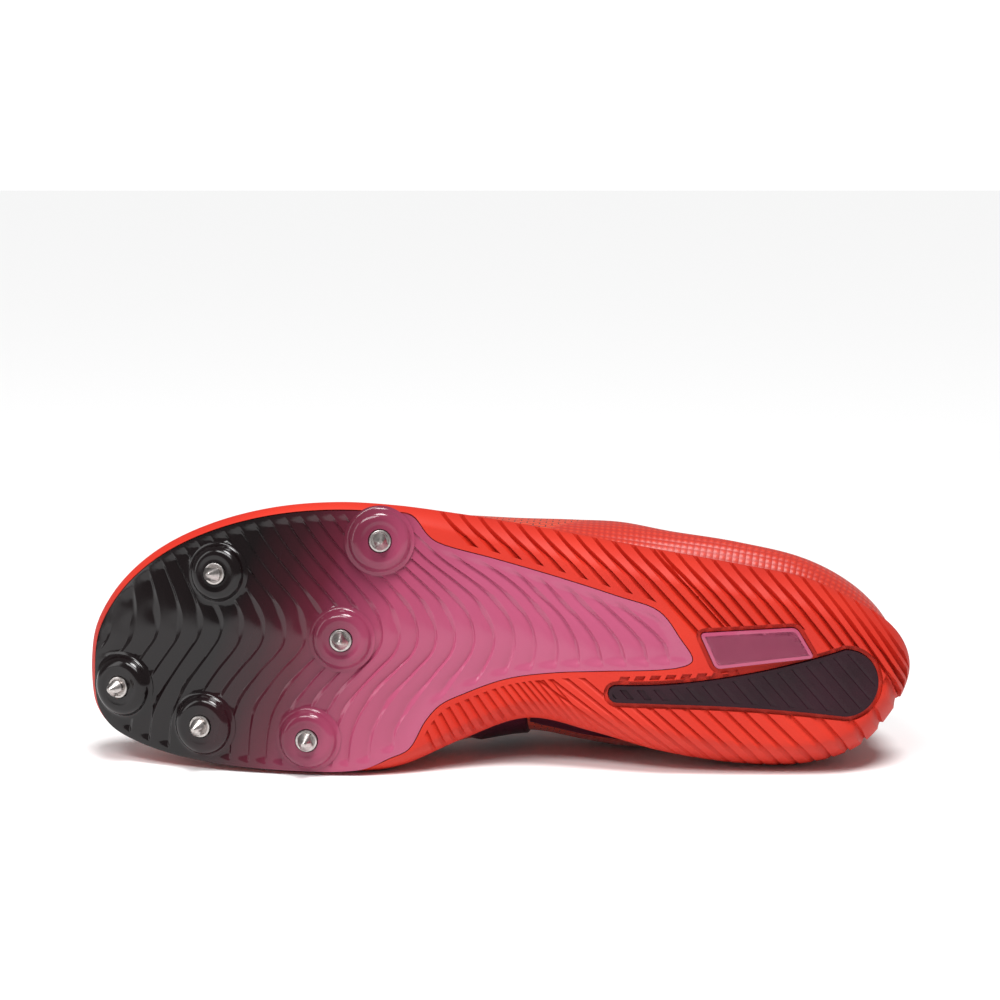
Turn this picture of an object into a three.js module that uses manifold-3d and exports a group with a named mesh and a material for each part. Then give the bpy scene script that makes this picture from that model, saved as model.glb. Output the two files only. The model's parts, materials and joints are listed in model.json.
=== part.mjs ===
// A left sprint spike shoe lying on its medial side, in millimetres, +Z up.
// The shoe's own frame: x from the heel's back to the toe, y to the lateral side, z up from the sole.
import * as THREE from 'three';
import { ConvexHull } from 'three/addons/math/ConvexHull.js';
import { mergeVertices } from 'three/addons/utils/BufferGeometryUtils.js';
import Module from 'manifold-3d';

const wasm = await Module();
wasm.setup();

// Driving sizes of the whole shoe
const LENGTH = 290;
const BALL_WIDTH = 94;
const WALL_HEIGHT = 26;
const TOE_SPRING = 28;
const ARCH_LIFT = 9;
const HEEL_BEVEL = 7;
const COLLAR_HEIGHT = 79;
const GAP = 0.3;

// Foam midsole
const LIP = 3;
const LIP_ROUND = 0.7;
const CUP_CLEAR = 0.7;
const BED_CLEAR = 0.5;
const EDGE_INSET = 10;
const RIB_PITCH = 6.4;
const RIB_DEPTH = 1.5;
const RIB_SLANT = 0.75;
const RIB_REACH = 11;
const CAMBER = 1.6;

// Upper, tongue, insole and lace
const UPPER_WALL = 1.9;
const COLLAR_PAD = 3.4;
const SEAM_MARGIN = 5;
const HANDLE_AIM = 9;
const EYESTAY_STEP = 0.7;
const TONGUE_THICKNESS = 3.2;
const TONGUE_OVERLAP = 7.5;
const TONGUE_TAB = 17;
const INSOLE_THICKNESS = 3;
const INSOLE_CLEAR = 1.8;
const LACE_WIDTH = 5;
const LACE_THICKNESS = 1.2;
const LACE_CLEAR = 1.2;
const LACE_RISE = 1.1;
const EYELET_PAIRS = 5;
const EYELET_INSET = 6.5;
const BAND_THICKNESS = 0.7;
const PATCH_CLEAR = 0.6;

// Spike plate and the inserts of the heel
const PLATE_THICKNESS = 2.7;
const RIDGE_PITCH = 6.7;
const RIDGE_DEPTH = 0.9;
const BOSS_RADIUS = 10;
const BOSS_HEIGHT = 3.4;
const PIN_RADIUS = 3.8;
const PIN_FLANGE = 0.6;
const PIN_BODY_RADIUS = 3;
const PIN_HEIGHT = 6.2;
const PIN_CONE = 2.2;
const PIN_TIP_RADIUS = 0.6;
const PIN_FLATS = 4.3;
const PIN_SEAT = 1.6;
const PIN_SIDES = 8;
const PAD_PROUD = 0.4;
const PAD_DEPTH = 2.4;
const CHANNEL_WIDTH = 1.7;
const CHANNEL_DEPTH = 1.3;
const PAD_LENGTH = 93;
const PAD_RISE = 3.5;
const PAD_TIP_RADIUS = 2.9;
const PAD_HEEL_RADIUS = 11.5;
const PLAQUE_CORNER = 2;

// Outline of the foam's widest line, heel to toe: `at` in lengths, the sides in ball widths
const OUTLINE = [
  { at: 0, lateral: -0.128, medial: -0.128 },
  { at: 0.006, lateral: -0.051, medial: -0.207 },
  { at: 0.024, lateral: 0.027, medial: -0.298 },
  { at: 0.062, lateral: 0.112, medial: -0.415 },
  { at: 0.124, lateral: 0.207, medial: -0.478 },
  { at: 0.207, lateral: 0.264, medial: -0.479 },
  { at: 0.303, lateral: 0.321, medial: -0.431 },
  { at: 0.386, lateral: 0.368, medial: -0.362 },
  { at: 0.465, lateral: 0.414, medial: -0.311 },
  { at: 0.545, lateral: 0.462, medial: -0.382 },
  { at: 0.621, lateral: 0.502, medial: -0.468 },
  { at: 0.69, lateral: 0.517, medial: -0.483 },
  { at: 0.766, lateral: 0.498, medial: -0.479 },
  { at: 0.838, lateral: 0.441, medial: -0.464 },
  { at: 0.9, lateral: 0.353, medial: -0.434 },
  { at: 0.945, lateral: 0.248, medial: -0.394 },
  { at: 0.976, lateral: 0.134, medial: -0.346 },
  { at: 0.995, lateral: 0.013, medial: -0.268 },
  { at: 1, lateral: -0.144, medial: -0.144 },
];

// Foam wall and foot bed in wall heights, inset of the bottom edge in edge insets, along the length
const WALL = [
  { at: 0, wall: 1.08, bed: 0.64, edge: 0.95 },
  { at: 0.15, wall: 0.96, bed: 0.62, edge: 1 },
  { at: 0.32, wall: 0.9, bed: 0.6, edge: 1 },
  { at: 0.46, wall: 0.74, bed: 0.47, edge: 0.85 },
  { at: 0.58, wall: 0.58, bed: 0.33, edge: 0.55 },
  { at: 0.69, wall: 0.48, bed: 0.28, edge: 0.38 },
  { at: 0.85, wall: 0.43, bed: 0.27, edge: 0.36 },
  { at: 1, wall: 0.46, bed: 0.27, edge: 0.42 },
];

// Top line of the upper, heel to throat end: `at` in lengths, sides in ball widths, `height` in collar
// heights, and `foot`, in lengths, where the line of the upper that ends there starts on the sole
const TOPLINE = [
  { at: 0.026, lateral: -0.122, medial: -0.122, height: 1, foot: 0 },
  { at: 0.038, lateral: -0.034, medial: -0.21, height: 0.985, foot: 0.01 },
  { at: 0.08, lateral: 0.1, medial: -0.35, height: 0.89, foot: 0.06 },
  { at: 0.145, lateral: 0.178, medial: -0.425, height: 0.775, foot: 0.138 },
  { at: 0.214, lateral: 0.205, medial: -0.446, height: 0.73, foot: 0.214 },
  { at: 0.29, lateral: 0.208, medial: -0.42, height: 0.79, foot: 0.29 },
  { at: 0.352, lateral: 0.182, medial: -0.325, height: 0.94, foot: 0.352 },
  { at: 0.4, lateral: 0.136, medial: -0.21, height: 1.08, foot: 0.41 },
  { at: 0.455, lateral: 0.136, medial: -0.196, height: 1.03, foot: 0.49 },
  { at: 0.534, lateral: 0.132, medial: -0.176, height: 0.9, foot: 0.59 },
  { at: 0.612, lateral: 0.12, medial: -0.15, height: 0.765, foot: 0.7 },
  { at: 0.669, lateral: 0.098, medial: -0.118, height: 0.675, foot: 0.82 },
  { at: 0.701, lateral: 0.05, medial: -0.07, height: 0.63, foot: 0.935 },
  { at: 0.711, lateral: -0.01, medial: -0.01, height: 0.62, foot: 1 },
];

// Handles of the upper's lines, one row for each row of the top line, in collar heights: `out` and `up`
// at the sole, `over` and `under` at the top line, and `medial`, that side's extra `out`
const HANDLES = [
  { out: 0.08, up: 0.16, over: 0.03, under: 0.26, medial: 0 },
  { out: 0.095, up: 0.16, over: 0.035, under: 0.25, medial: -0.01 },
  { out: 0.16, up: 0.15, over: 0.07, under: 0.22, medial: -0.075 },
  { out: 0.23, up: 0.15, over: 0.045, under: 0.2, medial: -0.15 },
  { out: 0.27, up: 0.15, over: 0.04, under: 0.19, medial: -0.19 },
  { out: 0.26, up: 0.18, over: 0.08, under: 0.18, medial: -0.16 },
  { out: 0.24, up: 0.25, over: 0.18, under: 0.17, medial: -0.02 },
  { out: 0.2, up: 0.32, over: 0.21, under: 0.15, medial: 0.12 },
  { out: 0.12, up: 0.34, over: 0.23, under: 0.13, medial: 0.19 },
  { out: 0.065, up: 0.32, over: 0.24, under: 0.1, medial: 0.105 },
  { out: 0.035, up: 0.28, over: 0.27, under: 0.075, medial: 0.06 },
  { out: 0.035, up: 0.21, over: 0.33, under: 0.05, medial: 0.03 },
  { out: 0.04, up: 0.15, over: 0.42, under: 0.04, medial: 0 },
  { out: 0.045, up: 0.13, over: 0.5, under: 0.04, medial: 0 },
];

// Rear edge of the spike plate from the medial to the lateral side, in lengths and ball widths
const PLATE_REAR = [
  { at: 0.66, across: -0.462 },
  { at: 0.631, across: -0.424 },
  { at: 0.608, across: -0.392 },
  { at: 0.588, across: -0.29 },
  { at: 0.57, across: -0.232 },
  { at: 0.541, across: -0.193 },
  { at: 0.491, across: -0.144 },
  { at: 0.435, across: -0.122 },
  { at: 0.379, across: -0.112 },
  { at: 0.28, across: -0.09 },
  { at: 0.27, across: -0.068 },
  { at: 0.285, across: 0.014 },
  { at: 0.309, across: 0.111 },
  { at: 0.359, across: 0.166 },
  { at: 0.498, across: 0.296 },
  { at: 0.57, across: 0.366 },
  { at: 0.582, across: 0.394 },
];
const PLATE_SIDES = {
  lateral: { from: 0.6, inset: 2.4 },
  medial: { from: 0.69, inset: 1 },
};

// Shift of the plate's ridges towards the toe, in lengths, by place across in ball widths
const RIDGE_BEND = [
  { at: -0.5, bend: 0.071 },
  { at: -0.38, bend: 0.073 },
  { at: -0.3, bend: 0.067 },
  { at: -0.22, bend: 0.057 },
  { at: -0.12, bend: 0.031 },
  { at: 0.015, bend: 0 },
  { at: 0.1, bend: 0.009 },
  { at: 0.2, bend: 0.034 },
  { at: 0.33, bend: 0.066 },
  { at: 0.52, bend: 0.1 },
];

// Spike seats: place in lengths and ball widths, size in boss radii, turn of the pin's flats in degrees
const SPIKES = [
  { at: 0.955, across: -0.177, size: 1.04, turn: 30 },
  { at: 0.833, across: 0.259, size: 0.95, turn: 13 },
  { at: 0.854, across: -0.307, size: 1.02, turn: 52 },
  { at: 0.639, across: 0.381, size: 1.04, turn: 47 },
  { at: 0.685, across: 0.021, size: 0.99, turn: -52 },
  { at: 0.727, across: -0.349, size: 0.98, turn: 62 },
];

// Half section of a boss from its axis out and round to its top, in its own radii and heights
const BOSS_PROFILE = [
  { out: 0, up: -0.44 },
  { out: 1, up: -0.44 },
  { out: 1, up: 0.09 },
  { out: 0.8, up: 0.62 },
  { out: 0.5, up: 1 },
  { out: 0, up: 1 },
];

// Front tip of the heel pad and corners of the bare plaque beside it, in lengths and ball widths
const PAD_TIP = { at: 0.359, across: -0.197 };
const PLAQUE = [
  { at: 0.261, across: 0.03 },
  { at: 0.146, across: 0.047 },
  { at: 0.125, across: -0.064 },
  { at: 0.242, across: -0.102 },
];

// Film over the arch, between rows of the top line at the sole and at the top, and shares of the line
const BAND = { sole: [7.75, 8.55], top: [7.55, 8.3], shares: [0.03, 0.74], cells: [5, 9] };
const STRIP = { sole: [5.1, 7.68], top: [5.1, 7.68], shares: [0.03, 0.13], cells: [12, 1] };

// Value of one column of a table at a place along it, as a smooth curve through the rows
function along(rows, key, place, by = 'at') {
  const last = rows.length - 1;
  let i = 0;
  while (i < last - 1 && place > rows[i + 1][by]) i++;
  const slope = (j) => {
    const a = rows[Math.max(j - 1, 0)];
    const b = rows[Math.min(j + 1, last)];
    return (b[key] - a[key]) / (b[by] - a[by]);
  };
  const span = rows[i + 1][by] - rows[i][by];
  const t = Math.min(Math.max((place - rows[i][by]) / span, 0), 1);
  const h = t * t * (3 - 2 * t);
  const inner = t * (1 - t) * span * (slope(i) * (1 - t) - slope(i + 1) * t);
  return rows[i][key] * (1 - h) + rows[i + 1][key] * h + inner;
}

// Closed curve through a table's two sides, and its points by side (1 lateral, -1 medial) and share
function twoSided(rows, height) {
  const point = (row, key) => new THREE.Vector3(row.at * LENGTH, row[key] * BALL_WIDTH, height(row));
  const lateral = rows.map((row) => point(row, 'lateral'));
  const medial = rows.slice(1, -1).map((row) => point(row, 'medial'));
  return new THREE.CatmullRomCurve3([...lateral, ...medial.reverse()], true, 'centripetal');
}

const rimCurve = twoSided(OUTLINE, () => 0);
const topCurve = twoSided(TOPLINE, (row) => row.height * COLLAR_HEIGHT);

// Each side of the rim sampled from the heel's back to the toe, with its arc length
const RIM_SAMPLES = 600;
function sampleSide(side) {
  const samples = [];
  let arc = 0;
  for (let i = 0; i <= RIM_SAMPLES; i++) {
    const share = (0.5 * i) / RIM_SAMPLES;
    const t = side > 0 ? share : (1 - share) % 1;
    const p = rimCurve.getPoint(t);
    const tangent = rimCurve.getTangent(t);
    const normal = new THREE.Vector3(-tangent.y, tangent.x, 0).normalize();
    if (i > 0) arc += p.distanceTo(samples[i - 1].p);
    samples.push({ p, normal, arc, x: p.x });
  }
  return samples;
}
const rimSides = { 1: sampleSide(1), '-1': sampleSide(-1) };
const sideLength = (side) => rimSides[side][RIM_SAMPLES].arc;

function rimSample(side, key, value) {
  const samples = rimSides[side];
  let low = 0;
  let high = RIM_SAMPLES;
  while (high - low > 1) {
    const middle = (low + high) >> 1;
    if (samples[middle][key] <= value) low = middle;
    else high = middle;
  }
  const span = samples[high][key] - samples[low][key];
  const t = Math.min(Math.max((value - samples[low][key]) / span, 0), 1);
  return {
    p: samples[low].p.clone().lerp(samples[high].p, t),
    normal: samples[low].normal.clone().lerp(samples[high].normal, t).normalize(),
    arc: THREE.MathUtils.lerp(samples[low].arc, samples[high].arc, t),
  };
}

// Point of the rim at a signed arc length from the heel's back, lateral side positive
function rimAt(arc) {
  return rimSample(arc < 0 ? -1 : 1, 'arc', Math.abs(arc));
}

// Arc on the medial side whose point lies straight across from an arc on the lateral side
function facingArc(arc) {
  return rimSample(-1, 'x', rimSample(1, 'arc', arc).p.x).arc;
}

const smooth = THREE.MathUtils.smoothstep;
const BALL_AT = 0.66 * LENGTH;
const HEEL_FRONT = 0.28 * LENGTH;
const BEVEL_LENGTH = 0.115 * LENGTH;

// Heights of the sole, along and across
function ground(x) {
  const toe = TOE_SPRING * Math.pow(Math.max((x - BALL_AT) / (LENGTH - BALL_AT), 0), 1.9);
  const inArch = THREE.MathUtils.clamp((x - HEEL_FRONT) / (BALL_AT - HEEL_FRONT), 0, 1);
  const arch = ARCH_LIFT * Math.pow(Math.sin(Math.PI * inArch), 2);
  const bevel = HEEL_BEVEL * Math.pow(Math.max(1 - x / BEVEL_LENGTH, 0), 2);
  return toe + arch + bevel;
}
function under(x, y) {
  const lateral = rimSample(1, 'x', x).p.y;
  const medial = rimSample(-1, 'x', x).p.y;
  const across = (2 * y - lateral - medial) / Math.max(lateral - medial, 1);
  const camber = CAMBER * smooth(x, HEEL_FRONT, BALL_AT) * Math.min(across * across, 1.2);
  return ground(x) + camber;
}
const wallTop = (x) => ground(x) + WALL_HEIGHT * along(WALL, 'wall', x / LENGTH);
const bed = (x) => ground(x) + WALL_HEIGHT * along(WALL, 'bed', x / LENGTH);
const edgeInset = (x) => EDGE_INSET * along(WALL, 'edge', x / LENGTH);

// Solids and meshes
function geometryFrom(points, triangles) {
  const geometry = new THREE.BufferGeometry();
  geometry.setAttribute('position', new THREE.Float32BufferAttribute(points.flatMap((p) => p.toArray()), 3));
  geometry.setIndex(triangles.flat());
  return geometry;
}
function solidFrom(geometry) {
  const bare = geometry.clone();
  bare.deleteAttribute('normal');
  bare.deleteAttribute('uv');
  const merged = mergeVertices(bare, 1e-4);
  const vertProperties = new Float32Array(merged.attributes.position.array);
  const corners = [...merged.index.array];
  const triVerts = [];
  for (let i = 0; i < corners.length; i += 3) {
    const [a, b, c] = corners.slice(i, i + 3);
    if (a !== b && b !== c && a !== c) triVerts.push(a, b, c);
  }
  const mesh = new wasm.Mesh({ numProp: 3, vertProperties, triVerts: new Uint32Array(triVerts) });
  return new wasm.Manifold(mesh);
}
function geometryOf(solid) {
  const mesh = solid.getMesh();
  const geometry = new THREE.BufferGeometry();
  geometry.setAttribute('position', new THREE.Float32BufferAttribute(mesh.vertProperties, 3));
  geometry.setIndex([...mesh.triVerts]);
  return geometry;
}

// Band of triangles between two closed rings of one length
function bandBetween(below, above, count) {
  const triangles = [];
  for (let i = 0; i < count; i++) {
    const next = (i + 1) % count;
    triangles.push([below + i, above + next, below + next], [below + i, above + i, above + next]);
  }
  return triangles;
}

// Cap over a closed ring whose points i and count - i face each other, with the inner points' height
function capOver(points, ring, count, inner, height, up) {
  const half = count / 2;
  const row = (k) => {
    if (k === 0) return new Array(inner + 2).fill(ring);
    if (k === half) return new Array(inner + 2).fill(ring + half);
    const left = points[ring + k];
    const right = points[ring + count - k];
    const made = [ring + k];
    for (let j = 1; j <= inner; j++) {
      const p = left.clone().lerp(right, j / (inner + 1));
      p.z = height(p.x, p.y);
      made.push(points.push(p) - 1);
    }
    made.push(ring + count - k);
    return made;
  };
  const triangles = [];
  let last = row(0);
  for (let k = 1; k <= half; k++) {
    const next = row(k);
    for (let j = 0; j <= inner; j++) {
      const [a, b, c, d] = [last[j], last[j + 1], next[j + 1], next[j]];
      const pair = up ? [[a, b, c], [a, c, d]] : [[a, c, b], [a, d, c]];
      triangles.push(...pair.filter(([p, q, r]) => p !== q && q !== r && p !== r));
    }
    last = next;
  }
  return triangles;
}

// Solid between two height functions over a box of cells
function slab(box, cells, low, high) {
  const points = [];
  const [nx, ny] = cells;
  for (const height of [low, high]) {
    for (let i = 0; i <= nx; i++) {
      for (let j = 0; j <= ny; j++) {
        const x = THREE.MathUtils.lerp(box.min.x, box.max.x, i / nx);
        const y = THREE.MathUtils.lerp(box.min.y, box.max.y, j / ny);
        points.push(new THREE.Vector3(x, y, height(x, y)));
      }
    }
  }
  return solidFrom(geometryFrom(points, boxedGrid(nx, ny)));
}

// Triangles of a closed solid made of two grids of nx by ny cells, the lower one first
function boxedGrid(nx, ny) {
  const layer = (nx + 1) * (ny + 1);
  const id = (i, j, top) => i * (ny + 1) + j + (top ? layer : 0);
  const triangles = [];
  for (let i = 0; i < nx; i++) {
    for (let j = 0; j < ny; j++) {
      const low = [id(i, j), id(i, j + 1), id(i + 1, j + 1), id(i + 1, j)];
      const [a, b, c, d] = low;
      triangles.push([a, b, c], [a, c, d]);
      const [e, f, g, h] = low.map((n) => n + layer);
      triangles.push([e, g, f], [e, h, g]);
    }
  }
  const wall = (p, q) => triangles.push([p, q, q + layer], [p, q + layer, p + layer]);
  for (let i = 0; i < nx; i++) {
    wall(id(i, 0), id(i + 1, 0));
    wall(id(i + 1, ny), id(i, ny));
  }
  for (let j = 0; j < ny; j++) {
    wall(id(0, j + 1), id(0, j));
    wall(id(nx, j), id(nx, j + 1));
  }
  return triangles;
}

// Upright prism over an outline, far enough to cross the whole sole
const PRISM_LOW = -WALL_HEIGHT;
const PRISM_HIGH = TOE_SPRING + WALL_HEIGHT;
function prism(outline) {
  const shape = new THREE.Shape(outline);
  const geometry = new THREE.ExtrudeGeometry(shape, { depth: PRISM_HIGH - PRISM_LOW, bevelEnabled: false });
  geometry.translate(0, 0, PRISM_LOW);
  return solidFrom(geometry);
}

// Outline, clockwise seen from above, with each point moved out by a distance
function grown(outline, distance) {
  const count = outline.length;
  return outline.map((p, i) => {
    const before = outline[(i + count - 1) % count];
    const after = outline[(i + 1) % count];
    const tangent = after.clone().sub(before).normalize();
    return new THREE.Vector2(p.x - tangent.y * distance, p.y + tangent.x * distance);
  });
}

// Solid between two height functions inside an outline
const SLAB_CELL = 18;
function slabOver(outline, low, high) {
  const box = new THREE.Box2().setFromPoints(outline).expandByScalar(1);
  const size = box.getSize(new THREE.Vector2());
  const cells = [Math.ceil(size.x / SLAB_CELL), Math.max(Math.ceil(size.y / SLAB_CELL), 2)];
  return slab(box, cells, low, high).intersect(prism(outline));
}

// Foam midsole: rings from under the sole round the wall and over the lip into the bed
const RIB_END = 0.62 * LENGTH;
const PLAIN_STEP = 12;
function ringStarts() {
  const side = sideLength(1);
  const ribbed = rimSample(1, 'x', RIB_END).arc;
  const ribs = 2 * Math.round(ribbed / RIB_PITCH);
  const plain = Math.round((side - ribbed) / PLAIN_STEP);
  const arcs = [];
  for (let i = 0; i < ribs; i++) arcs.push((ribbed * i) / ribs);
  for (let i = 0; i <= plain; i++) arcs.push(ribbed + ((side - ribbed) * i) / plain);
  return arcs;
}
function midsoleSolid() {
  const arcs = ringStarts();
  const half = arcs.length - 1;
  const count = 2 * half;
  const rings = [
    { inset: (x) => edgeInset(x) + RIB_REACH, height: null, rib: 0, shift: RIB_REACH + EDGE_INSET },
    { inset: edgeInset, height: null, rib: 0.8, shift: EDGE_INSET },
    { inset: (x) => 0.4 * edgeInset(x), height: 0.2, rib: 1, shift: 0.4 * EDGE_INSET },
    { inset: () => 0, height: 0.6, rib: 0.9, shift: -0.2 * EDGE_INSET },
    { inset: () => LIP_ROUND, height: 0.94, rib: 0.4, shift: -0.5 * EDGE_INSET },
    { inset: () => LIP, height: 1, rib: 0, shift: 0 },
    { inset: () => LIP, height: null, rib: 0, shift: 0, bed: true },
  ];
  const points = [];
  for (const ring of rings) {
    for (let i = 0; i < count; i++) {
      const start = i <= half ? arcs[i] : -facingArc(arcs[count - i]);
      const plain = smooth(rimAt(start).p.x, RIB_END - 3 * RIB_PITCH, RIB_END);
      const { p, normal } = rimAt(start - ring.shift * RIB_SLANT * (1 - plain));
      const rib = ring.rib * (1 - plain) * RIB_DEPTH * (i % 2 ? 0 : 1);
      p.addScaledVector(normal, -ring.inset(p.x));
      const wallShare = ring.height;
      if (ring.bed) p.z = bed(p.x);
      else if (wallShare === null) p.z = under(p.x, p.y) + rib;
      else {
        p.z = THREE.MathUtils.lerp(under(p.x, p.y), wallTop(p.x), wallShare);
        p.addScaledVector(normal, -rib);
      }
      points.push(p);
    }
  }
  const triangles = [];
  for (let r = 0; r + 1 < rings.length; r++) {
    triangles.push(...bandBetween(r * count, (r + 1) * count, count));
  }
  triangles.push(...capOver(points, 0, count, 2, under, false));
  triangles.push(...capOver(points, (rings.length - 1) * count, count, 2, bed, true));
  return solidFrom(geometryFrom(points, triangles));
}

// Outlines of the plate and the inserts, all clockwise seen from above
const onSole = (row) => new THREE.Vector2(row.at * LENGTH, row.across * BALL_WIDTH);
const PLATE_COLUMNS = 18;
function plateOutline() {
  const { lateral, medial } = PLATE_SIDES;
  const outline = [];
  const edge = (side, from, share, inset) => {
    const x = LENGTH * (from + (1 - from) * Math.sin((share * Math.PI) / 2));
    const { p, normal } = rimSample(side, 'x', x);
    p.addScaledVector(normal, -inset);
    outline.push(new THREE.Vector2(p.x, p.y));
  };
  for (let i = 0; i <= PLATE_COLUMNS; i++) edge(1, lateral.from, i / PLATE_COLUMNS, lateral.inset);
  for (let i = PLATE_COLUMNS - 1; i >= 0; i--) {
    const share = i / PLATE_COLUMNS;
    edge(-1, medial.from, share, THREE.MathUtils.lerp(medial.inset, lateral.inset, share ** 4));
  }
  return [...outline, ...PLATE_REAR.map(onSole)];
}
const PAD_COLUMNS = 9;
function padOutline() {
  const tip = onSole(PAD_TIP);
  const run = PAD_LENGTH - PAD_TIP_RADIUS - PAD_HEEL_RADIUS;
  const spine = (f) => new THREE.Vector2(tip.x - f * run, tip.y + PAD_RISE * f * f);
  const radius = (f) => THREE.MathUtils.lerp(PAD_TIP_RADIUS, PAD_HEEL_RADIUS, f * f);
  const outline = [];
  const around = (f, angle) => {
    const c = spine(f);
    outline.push(new THREE.Vector2(c.x + radius(f) * Math.cos(angle), c.y + radius(f) * Math.sin(angle)));
  };
  for (let i = 0; i < PAD_COLUMNS; i++) around(i / PAD_COLUMNS, -Math.PI / 2);
  for (let i = 0; i <= PAD_COLUMNS; i++) around(1, -Math.PI / 2 - (Math.PI * i) / PAD_COLUMNS);
  for (let i = PAD_COLUMNS - 1; i >= 0; i--) around(i / PAD_COLUMNS, Math.PI / 2);
  for (let i = 1; i < 4; i++) around(0, Math.PI / 2 - (Math.PI * i) / 4);
  return outline;
}
function plaqueOutline() {
  const corners = PLAQUE.map(onSole);
  const outline = [];
  corners.forEach((corner, i) => {
    const before = corners[(i + 3) % 4];
    const after = corners[(i + 1) % 4];
    const start = corner.clone().sub(before).setLength(PLAQUE_CORNER);
    const end = after.clone().sub(corner).setLength(PLAQUE_CORNER);
    const a = corner.clone().sub(start);
    const b = corner.clone().add(end);
    const curve = new THREE.QuadraticBezierCurve(a, corner, b);
    outline.push(...curve.getPoints(3));
  });
  return outline.reverse();
}

// Everything lower than a depth above the sole's face, inside an outline
const below = (outline, depth) => slabOver(outline, () => PRISM_LOW + 1, (x, y) => under(x, y) + depth);

// Spike plate: a slab whose lower face runs in ridges bent round the ball of the foot
const bend = (y) => LENGTH * along(RIDGE_BEND, 'bend', y / BALL_WIDTH);
const RIDGE_RUN = { from: 0.15, to: 1.03, side: 0.56, crest: 0.3 };
const RIDGE_COLUMNS = 6;
function ridgedFace() {
  const rows = [];
  for (let x = RIDGE_RUN.from * LENGTH; x < RIDGE_RUN.to * LENGTH; x += RIDGE_PITCH) {
    rows.push({ x, depth: RIDGE_DEPTH }, { x: x + RIDGE_RUN.crest * RIDGE_PITCH, depth: 0 });
  }
  const points = [];
  for (const layer of [0, 1]) {
    for (const { x, depth } of rows) {
      for (let j = 0; j <= RIDGE_COLUMNS; j++) {
        const y = RIDGE_RUN.side * BALL_WIDTH * ((2 * j) / RIDGE_COLUMNS - 1);
        const bent = x + bend(y);
        const z = layer ? PRISM_HIGH - 1 : under(Math.min(bent, LENGTH), y) + depth;
        points.push(new THREE.Vector3(bent, y, z));
      }
    }
  }
  return solidFrom(geometryFrom(points, boxedGrid(rows.length - 1, RIDGE_COLUMNS)));
}

// Turn that carries +Z to the way out of the sole's face at a point
function faceTurn(x, y) {
  const step = 0.5;
  const slopeX = (under(x + step, y) - under(x - step, y)) / (2 * step);
  const slopeY = (under(x, y + step) - under(x, y - step)) / (2 * step);
  const out = new THREE.Vector3(slopeX, slopeY, -1).normalize();
  return new THREE.Quaternion().setFromUnitVectors(new THREE.Vector3(0, 0, 1), out);
}
function seatMatrix(spike) {
  const x = spike.at * LENGTH;
  const y = spike.across * BALL_WIDTH;
  const place = new THREE.Vector3(x, y, under(x, y));
  return new THREE.Matrix4().compose(place, faceTurn(x, y), new THREE.Vector3(1, 1, 1));
}
function lathe(profile, sides) {
  const points = profile.map(([r, z]) => new THREE.Vector2(r, z));
  return new THREE.LatheGeometry(points, sides).rotateX(Math.PI / 2);
}
const cylinder = (radius, from, to) => lathe([[0, from], [radius, from], [radius, to], [0, to]], PIN_SIDES);
const BOSS_SIDES = 10;
const SEAT_FLOOR = BOSS_HEIGHT - PIN_SEAT;
function plateGeometry() {
  let plate = ridgedFace().intersect(below(plateShape, PLATE_THICKNESS));
  for (const spike of SPIKES) {
    const radius = spike.size * BOSS_RADIUS;
    const profile = BOSS_PROFILE.map((row) => [row.out * radius, row.up * BOSS_HEIGHT]);
    const boss = lathe(profile, BOSS_SIDES).applyMatrix4(seatMatrix(spike));
    const seat = cylinder(PIN_RADIUS + GAP, SEAT_FLOOR, 2 * BOSS_HEIGHT).applyMatrix4(seatMatrix(spike));
    plate = plate.add(solidFrom(boss)).subtract(solidFrom(seat));
  }
  return geometryOf(plate);
}

// Steel pin: a round flange in its seat, a body with two flats and a blunt cone
function pinSolid(spike) {
  const foot = SEAT_FLOOR + GAP;
  const top = BOSS_HEIGHT + PIN_HEIGHT;
  const flange = solidFrom(cylinder(PIN_RADIUS, foot, BOSS_HEIGHT + PIN_FLANGE));
  const profile = [
    [0, foot],
    [PIN_BODY_RADIUS, foot],
    [PIN_BODY_RADIUS, top - PIN_CONE],
    [PIN_TIP_RADIUS, top],
    [0, top],
  ];
  const body = solidFrom(lathe(profile, PIN_SIDES));
  const flats = solidFrom(new THREE.BoxGeometry(4 * PIN_RADIUS, PIN_FLATS, 4 * PIN_HEIGHT));
  const turn = new THREE.Matrix4().makeRotationZ(THREE.MathUtils.degToRad(spike.turn));
  return geometryOf(flange.add(body.intersect(flats))).applyMatrix4(turn).applyMatrix4(seatMatrix(spike));
}

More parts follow.
